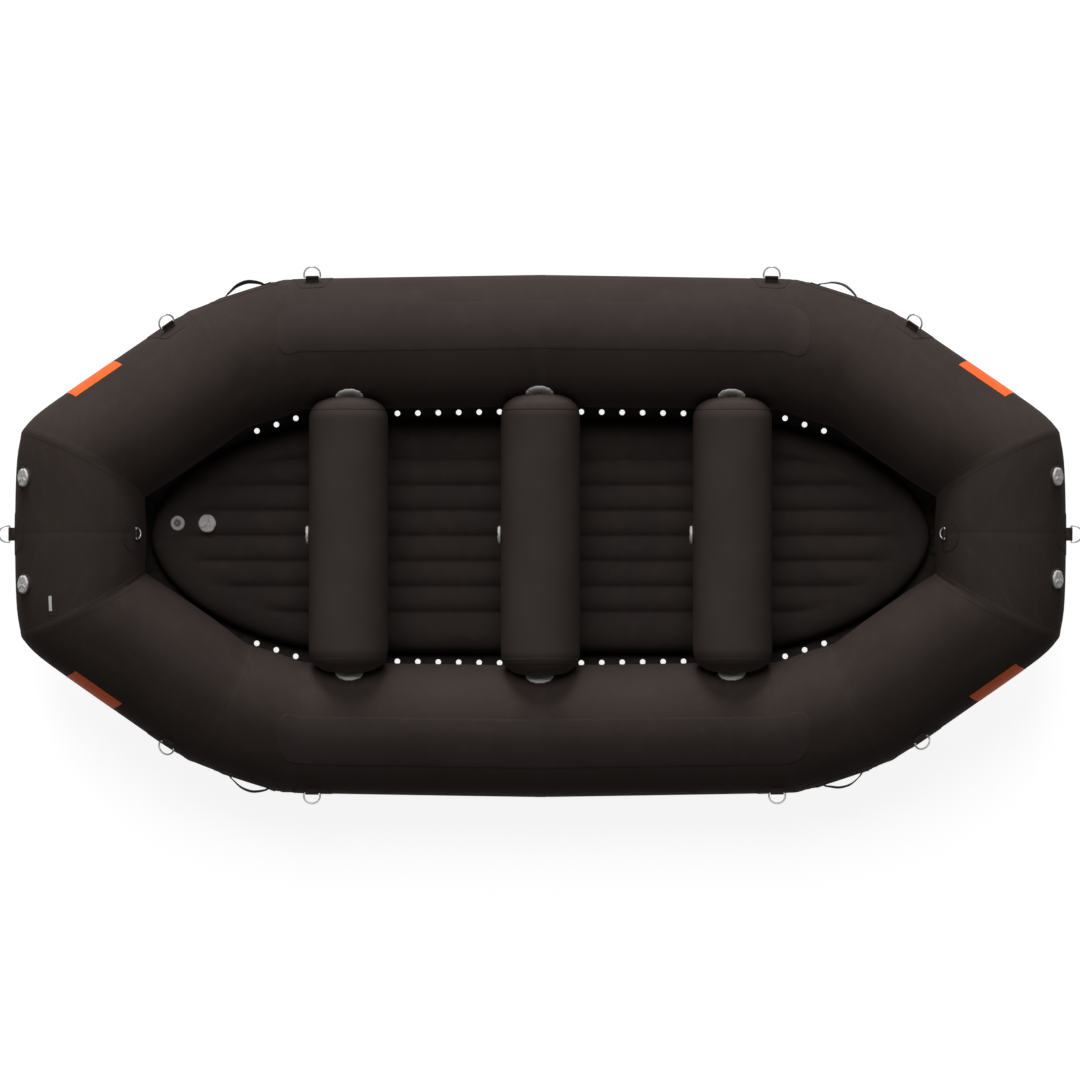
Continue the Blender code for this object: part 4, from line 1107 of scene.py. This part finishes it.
def keeperPath(kind):
    # up from the wall, round the bar and back down, in the strap's own thickness
    gap = wire["keeperMm"] / 2 + 0.1
    around = wire["mm"] / 2 + wire["keeperMm"] / 2 + 0.2
    reach = kind["reachMm"]
    neck = max(reach - 9, 0.8)
    points = [(0, gap + 1.2, -0.5), (0, gap, neck * 0.5), (0, gap + 0.1, neck)]
    for i in range(9):
        turn = math.radians(-40 + 260 * i / 8)
        points.append((0, around * math.cos(turn), reach + around * math.sin(turn)))
    points += [(0, -gap - 0.1, neck), (0, -gap, neck * 0.5), (0, -gap - 1.2, -0.5)]
    return smoothPath(points, 5)


def makeRings():
    for place, (kindName, stretch, share, angle, end, side) in ringPlaces.items():
        kind = ringKinds[kindName]
        node = f"d_ring_{place}"
        joint = joints[f"{node}_swing"]
        pivot = Vector(joint["pos_m"])
        seat = seatMatrix(stretch, share, angle, end, side)
        along, out = seat.col[0].xyz, seat.col[2].xyz
        low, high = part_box(node)
        rest = (low + high) / 2 - pivot
        rest = (rest - along * rest.dot(along)).normalized()
        ring = wireLoop(f"dRing_{place}", frameMatrix(pivot, along, rest), ringPath(kind), wire["mm"], steel)
        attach(ring, node)
        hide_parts(node)
        base = frameMatrix(pivot - out * (kind["reachMm"] + 0.4) * mm, along, out)
        keeper = strapPiece(
            f"ringKeeper_{place}", base, keeperPath(kind), kind["webbingMm"], wire["keeperMm"] * mm,
            fabric["keeper"], lambda i: Vector((1, 0, 0)),
        )
        rideHull(keeper)
        spot = (stretch, share, angle, end, side)
        halfWidth = (kind["highMm"] - kind["lowMm"]) / 2 * mm
        if kindName == "inner":
            shape = roundPatch(halfWidth)
        else:
            rounded = roundedEnds(kind["patchMm"] / 2 * mm, halfWidth, 14 * mm)

            def shape(t, rounded=rounded, kind=kind):
                return rounded(t) - kind["taperMm"] * mm * abs(2 * t - 1)

        patch = wallPatch(
            f"ringPatch_{place}", spot, halfWidth, shape, wire["patchThicknessMm"] * mm, fabric["patch"],
            low=kind["lowMm"] * mm,
        )
        rideHull(patch, f"d_ring_patch_{place}")
        runs = []
        half = kind["webbingMm"] / 2 - 4
        for face in (1, -1):
            for height in (kind["reachMm"] * 0.2, kind["reachMm"] * 0.2 + 4):
                if height > kind["reachMm"] - 7:
                    continue
                level = face * (wire["keeperMm"] + 0.2)
                start, finish = [base @ (Vector((x, level, height)) * mm) for x in (-half, half)]
                runs.append((start, finish, base.col[1].xyz * face))
        if runs:
            stitchRows(f"keeperStitching_{place}", runs)


# Carry handles: a webbing arch sewn to a base strip on a long patch
handle = {
    "spanMm": 156, "heightMm": 36, "tailMm": 34, "webbingMm": 38, "thicknessMm": 4.4,
    "baseMm": 250, "baseThicknessMm": 2, "patchMm": 300, "patchHalfMm": 84, "patchCornerMm": 30,
    # the sewn box at each end of the loop: where it starts and ends, half its width, and its height
    "sewnMm": (86, 108), "sewnHalfMm": 14, "sewnLiftMm": 3.4,
    # share along the shoulder, which way the loop leans, and its twist in degrees
    "places": {
        ("bow", "port"): (0.39, -1, 11), ("stern", "port"): (0.38, 1, 18),
        ("bow", "starboard"): (0.46, -1, 9), ("stern", "starboard"): (0.32, 1, -11),
    },
}


def makeHandles():
    for (end, side), (share, lean, twist) in handle["places"].items():
        spot = (shoulder, share, 0, end, side)
        node = f"carry_handle_{side}_{end}"
        halfPatch = handle["patchHalfMm"] * mm
        rounded = roundedEnds(handle["patchMm"] / 2 * mm, halfPatch, handle["patchCornerMm"] * mm)
        rideHull(wallPatch(f"handlePatch_{side}_{end}", spot, halfPatch, rounded, 1.0 * mm, fabric["patch"]))
        halfWidth = handle["webbingMm"] / 2 * mm
        rounded = roundedEnds(handle["baseMm"] / 2 * mm, halfWidth, 3 * mm)
        base = wallPatch(
            f"handleBase_{side}_{end}", spot, halfWidth, rounded, handle["baseThicknessMm"] * mm, webbing,
            lift=1.2 * mm,
        )
        rideHull(base, node)
        seat = seatMatrix(shoulder, share, 0, end, side)
        span, height, tail = handle["spanMm"] / 2, handle["heightMm"], handle["tailMm"]
        points = [(-span - tail, 3.6), (-span - 6, 3.8), (-span + 3, 11), (-span * 0.72, height * 0.62),
                  (-span * 0.35, height * 0.94), (0, height), (span * 0.38, height * 0.86),
                  (span * 0.74, height * 0.5), (span - 3, 10), (span + 6, 3.8), (span + tail, 3.6)]
        path = smoothPath([(x * lean, 0, z) for x, z in points], 6)

        def twisted(i, last=len(path) - 1, twist=twist):
            # the loop leans over by the twist at its middle
            turn = math.radians(twist) * math.sin(math.pi * i / last) ** 2
            return Vector((0, math.cos(turn), math.sin(turn)))

        loop = strapPiece(
            f"handleLoop_{side}_{end}", seat, path, handle["webbingMm"], handle["thicknessMm"] * mm, webbing,
            twisted, 0.5,
        )
        rideHull(loop)
        place = wallPlace(spot)
        out = seat.col[2].xyz
        lift, wide = handle["sewnLiftMm"] * mm, handle["sewnHalfMm"] * mm
        sewn = []
        for x in (-1, 1):
            near, far = [x * edge * mm for edge in handle["sewnMm"]]
            corners = [place(u, v, lift) for u, v in ((near, -wide), (near, wide), (far, wide), (far, -wide))]
            sewn += [(corners[i], corners[(i + 1) % 4], out) for i in range(4)]
            sewn += [(corners[0], corners[2], out), (corners[1], corners[3], out)]
        stitchRows(f"handleStitching_{side}_{end}", sewn)


makeRings()
makeHandles()
print("rings and handles made")


# Inflation valves and the pressure-relief valve
valve = {
    "capMm": 74, "capHeightMm": 13, "scallops": 6, "scallopMm": 1.5, "grips": 3, "gripMm": 2.8,
    "gripWidthMm": 5.5, "collarMm": 43, "angle": 22.5, "leashMm": 9, "leashThicknessMm": 1.6,
    # share along the end stretch of each chamber's valve
    "chamber": {("bow", "port"): 0.205, ("stern", "port"): 0.219, ("bow", "starboard"): 0.361,
                ("stern", "starboard"): 0.290},
}
relief = {"flangeMm": 60, "boreMm": 33, "buttonMm": 20, "plateMm": 25.2}


def capShape(radius, turn, height):
    # scalloped rim, and three rounded finger grips that stand on the top
    rim = valve["capMm"] / 2
    grown = radius
    if radius > rim * 0.8:
        grown -= valve["scallopMm"] * (0.5 + 0.5 * math.cos(valve["scallops"] * turn)) ** 2
    lift = 0
    if height > valve["capHeightMm"] - 2 and radius < rim * 0.95:
        for number in range(valve["grips"]):
            away = turn - 2 * math.pi * number / valve["grips"]
            x, y = radius * math.cos(away), radius * math.sin(away)
            past = math.hypot(max(0, abs(x - 18) - 9), y)
            lift = max(lift, valve["gripMm"] * max(0, 1 - (past / valve["gripWidthMm"]) ** 2) ** 0.5)
    return grown, lift


def capProfile():
    rim, top = valve["capMm"] / 2, valve["capHeightMm"]
    profile = [(r, top - 1.1 + 0.9 * (r / 31) ** 2) for r in (0, 3, 6, 9, 12, 15, 18, 21, 24, 27, 29, 31)]
    return profile + [
        (33.5, top - 0.5), (rim - 1.6, top - 1.7), (rim - 0.4, top - 3.6), (rim, top - 5.5), (rim, 4.6),
        (rim - 0.5, 3.9), (rim - 1.6, 3.6), (34.4, 3.9), (34.2, 4.9), (0, 4.9),
    ]


def makeCollar(name, place, low, flip):
    # the skin is drawn up flat under the flange and falls back to the curve around it
    radii = [19.5, 26, 33, 35.5, 38, 40.5, valve["collarMm"]]
    turns = 64
    rows = []
    for radius in radii:
        fall = max(0, min(1, (valve["collarMm"] - radius) / (valve["collarMm"] - 34)))
        fall = fall * fall * (3 - 2 * fall)
        row = []
        for i in range(turns):
            a = 2 * math.pi * i / turns
            u, v = radius * math.cos(a) * mm, radius * math.sin(a) * mm
            row.append(place(u, v, low(v) * fall + 0.25 * mm))
        rows.append(row)
    bm = sheetMesh(rows, lambda a, b: (radii[a] * mm, b / turns * 0.2), wrap=True, flip=flip)
    obj = newPiece(name, cleanMesh(bm), fabric["patch"])
    return rideHull(thicken(obj, 1.0 * mm, offset=0))


def makeValves():
    # outlines as radius and height in mm: the poppet, bore, flange and barrel of the body, then its gasket
    body = [
        (0, 0.6), (4.6, 0.4), (5.8, -0.6), (6, -3), (6, -27), (16.8, -30), (17, -3), (17.6, 2.6), (18.8, 4.2),
        (31.6, 4.3), (32.6, 3.9), (33, 3), (33, 0.5), (20, 0.4), (20, -36), (24.5, -37), (25, -44), (0, -45),
    ]
    gasket = [(32.6, 3.2), (36.5, 2.6), (38.6, 1.7), (39, 0.9), (38.6, 0.35), (33, 0.3), (32.6, 3.2)]
    leash = smoothPath([(34, 0, 8), (39.5, 0, 8), (42.5, 0, 6.4), (42.8, 0, 4), (40.5, 0, 3), (37.5, 0, 3)], 5)
    for joint in frame["record"]["behaviour"]["joints"]:
        if not joint["name"].startswith("valve_cap_"):
            continue
        place = joint["name"][len("valve_cap_") : -len("_turn")]
        out = Vector(joint["axis"])
        along = Vector((0, 1, 0)) if abs(out.y) < 0.9 else Vector((1, 0, 0))
        matrix = frameMatrix(Vector(joint["pos_m"]), along - out * along.dot(out), out)
        housing = lathe(f"valveHousing_{place}", matrix, body, plastic["grey"], 72)
        rideHull(housing, f"valve_body_{place}")
        rideHull(lathe(f"valveGasket_{place}", matrix, gasket, plastic["black"], 72))
        cap = lathe(f"valveCap_{place}", matrix, capProfile(), plastic["grey"], 120, capShape)
        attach(cap, f"valve_cap_{place}")
        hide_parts(f"valve_cap_{place}")
        strap = strapPiece(
            f"capLeash_{place}", matrix, leash, valve["leashMm"], valve["leashThicknessMm"] * mm,
            plastic["black"], lambda i: Vector((0, 1, 0)),
        )
        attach(strap, f"valve_cap_{place}")
    for (end, side), share in valve["chamber"].items():
        spot = (endStretch, share, valve["angle"], end, side)
        place, seat = wallPlace(spot), seatMatrix(*spot)
        sunk = (seat.translation - place(0, 0)).dot(seat.col[2].xyz)

        def rise(v, sunk=sunk):
            return v * v / (2 * hull["radius"]) + sunk

        makeCollar(f"valveCollar_{side}_{end}", place, rise, wallFlip(end, side))
    for name, x in thwart["places"].items():
        radius = thwart["radius"]

        def place(u, v, lift, x=x, radius=radius):
            turn = math.pi - v / radius
            reach = radius + lift
            return Vector((x + reach * math.cos(turn), u, thwart["height"] + reach * math.sin(turn)))

        makeCollar(f"valveCollar_thwart_{name}", place, lambda v: v * v / (2 * thwart["radius"]), False)


def makeReliefValve():
    joint = joints["relief_valve_press"]
    out = -Vector(joint["axis"])
    matrix = frameMatrix(Vector(joint["pos_m"]), Vector((0, 1, 0)) - out * out.y, out)
    flange, bore = relief["flangeMm"] / 2, relief["boreMm"] / 2
    body = [
        (0, -19), (12.9, -18.8), (13, -0.5), (bore - 2.6, 0.2), (bore - 1.2, 1.2), (bore, 4.6), (bore + 1.2, 5.3),
        (flange - 4, 5.2), (flange - 1.4, 4.4), (flange, 2.6), (flange, 0.5), (18, 0.4), (18, -30), (0, -30),
    ]
    housing = lathe("reliefHousing", matrix, body, plastic["grey"], 72)
    rideHull(housing, "relief_valve_body")
    seal = [
        (flange - 0.6, 1.6), (flange + 2, 1.2), (flange + 2.6, 0.5), (flange + 2, 0.2), (flange - 0.6, 0.2),
        (flange - 0.6, 1.6),
    ]
    rideHull(lathe("reliefGasket", matrix, seal, plastic["black"], 72))
    button, plate = relief["buttonMm"] / 2, relief["plateMm"] / 2
    plunger = [
        (0, 4.2), (button * 0.5, 4.3), (button - 1.2, 3.9), (button - 0.2, 3), (button, 1.4), (plate - 0.2, 0.9),
        (plate, 0.2), (plate, -2.6), (5, -2.8), (5, -15), (0, -15.2),
    ]
    press = lathe("reliefPlunger", matrix, plunger, plastic["dull"], 64)
    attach(press, "relief_valve_plunger")
    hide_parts("relief_valve_plunger")


makeValves()
makeReliefValve()
print("valves made")


# Blank labels and the small white tag
labels = {
    "halfLengthMm": 117, "lowMm": -6, "highMm": 128, "cornerMm": 3, "thicknessMm": 0.5,
    "places": {
        ("bow", "port"): 0.67, ("stern", "port"): 0.67, ("bow", "starboard"): 0.745, ("stern", "starboard"): 0.67,
    },
}
tag = {
    "share": 0.012, "angle": 53, "halfLengthMm": 31.5, "halfWidthMm": 6.8, "thicknessMm": 0.4, "cornerMm": 3,
    "patchHalfMm": (51, 25), "patchThicknessMm": 0.8, "patchCornerMm": 6,
}


def makeLabels():
    half = (labels["highMm"] - labels["lowMm"]) / 2 * mm
    shape = roundedEnds(labels["halfLengthMm"] * mm, half, labels["cornerMm"] * mm)
    for (end, side), share in labels["places"].items():
        spot = (quarter, share, 0, end, side)
        piece = wallPatch(
            f"blankLabel_{side}_{end}", spot, half, shape, labels["thicknessMm"] * mm, label["orange"],
            low=labels["lowMm"] * mm,
        )
        rideHull(piece)
    spot = (endStretch, tag["share"], tag["angle"], "stern", "starboard")
    long, wide = [size * mm for size in tag["patchHalfMm"]]
    shape = roundedEnds(long, wide, tag["patchCornerMm"] * mm)
    thickness = tag["patchThicknessMm"] * mm
    rideHull(wallPatch("tagPatch", spot, wide, shape, thickness, fabric["patch"], lift=0.2 * mm))
    wide = tag["halfWidthMm"] * mm
    shape = roundedEnds(tag["halfLengthMm"] * mm, wide, tag["cornerMm"] * mm)
    rideHull(wallPatch("whiteTag", spot, wide, shape, tag["thicknessMm"] * mm, label["white"], lift=1.0 * mm))


makeLabels()
print("labels made")


# Floor, light and camera
studio = {
    # the scale holds at the height of the raft's outline
    "photoPixels": 1080, "metresPerPixel": 4.06 * mm, "centre": (-0.0019, -0.0196), "height": 60, "tilt": 1.6,
    "outlineHeight": 0.37, "floorHalf": 60, "sky": 0.03,
    # name: strength, elevation, turn from the port side, width
    "lamps": {"lowWindow": (3.2, 8, 4, 26), "highWindow": (1.15, 54, 6, 36), "fillLight": (0.19, 125, 0, 40)},
}


def whiteRays(tree):
    # 1 for what the camera sees directly, in metal or through a clear piece
    ray = addNode(tree, "LightPath").outputs
    seen = ray["Is Camera Ray"]
    for kind in ("Is Glossy Ray", "Is Transmission Ray"):
        seen = addNode(tree, "Math", {0: seen, 1: ray[kind]}, operation="MAXIMUM").outputs[0]
    return seen


def makeStage():
    half = studio["floorHalf"]
    bm = bmesh.new()
    corners = [(-half, -half), (half, -half), (half, half), (-half, half)]
    bm.faces.new([bm.verts.new((x, y, -0.5 * mm)) for x, y in corners])
    material = bpy.data.materials.new("matPaperFloor")
    material.use_nodes = True
    tree = material.node_tree
    tree.nodes.clear()
    # grey to the lamps' own light, and white where it is seen, with the shadow kept
    seen = whiteRays(tree)
    lit = addNode(tree, "BsdfDiffuse", {"Color": linearColour("#2c2c2c")}).outputs[0]
    paper = addNode(tree, "BsdfDiffuse", {"Color": linearColour("#a0a0a0")}).outputs[0]
    glow = addNode(tree, "Emission", {"Color": linearColour("#ffffff"), "Strength": 0.88}).outputs[0]
    white = addNode(tree, "AddShader", {0: paper, 1: glow}).outputs[0]
    mixed = addNode(tree, "MixShader", {0: seen, 1: lit, 2: white}).outputs[0]
    addNode(tree, "OutputMaterial", {"Surface": mixed})
    newPiece("studioFloor", bm, material)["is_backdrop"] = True


def makeLights():
    for name, (strength, elevation, turn, width) in studio["lamps"].items():
        lamp = bpy.data.lights.new(name, "SUN")
        lamp.energy = strength
        lamp.angle = math.radians(width)
        obj = bpy.data.objects.new(name, lamp)
        obj.rotation_euler = (math.radians(elevation - 90), 0, math.radians(turn))
        bpy.context.scene.collection.objects.link(obj)
    world = bpy.data.worlds.new("plainSky")
    bpy.context.scene.world = world
    world.use_nodes = True
    tree = world.node_tree
    tree.nodes.clear()
    seen = whiteRays(tree)
    lit = addNode(tree, "Background", {"Color": linearColour("#ffffff"), "Strength": studio["sky"]}).outputs[0]
    white = addNode(tree, "Background", {"Color": linearColour("#ffffff"), "Strength": 1}).outputs[0]
    mixed = addNode(tree, "MixShader", {0: seen, 1: lit, 2: white}).outputs[0]
    addNode(tree, "OutputWorld", {"Surface": mixed})


def makeCamera():
    lens = bpy.data.cameras.new("overheadCamera")
    lens.sensor_width = 36
    lens.sensor_height = 36
    lens.sensor_fit = "HORIZONTAL"
    reach = studio["height"] - studio["outlineHeight"]
    lens.lens = 36 * reach / (studio["photoPixels"] * studio["metresPerPixel"])
    lens.clip_end = 200
    obj = bpy.data.objects.new("overheadCamera", lens)
    # the photographer stood a little to starboard of the middle
    lean = math.radians(studio["tilt"])
    aim = Vector((*studio["centre"], studio["outlineHeight"]))
    obj.location = aim + Vector((0, -math.sin(lean), math.cos(lean))) * reach
    obj.rotation_euler = (lean, 0, 0)
    bpy.context.scene.collection.objects.link(obj)
    bpy.context.scene.camera = obj


makeStage()
makeLights()
makeCamera()
bpy.context.scene.view_settings.view_transform = "Standard"
print("stage, light and camera set")

bounds = {"cad": cadBounds, "scene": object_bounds()}
{name: [list(corner) for corner in box] for name, box in bounds.items()}
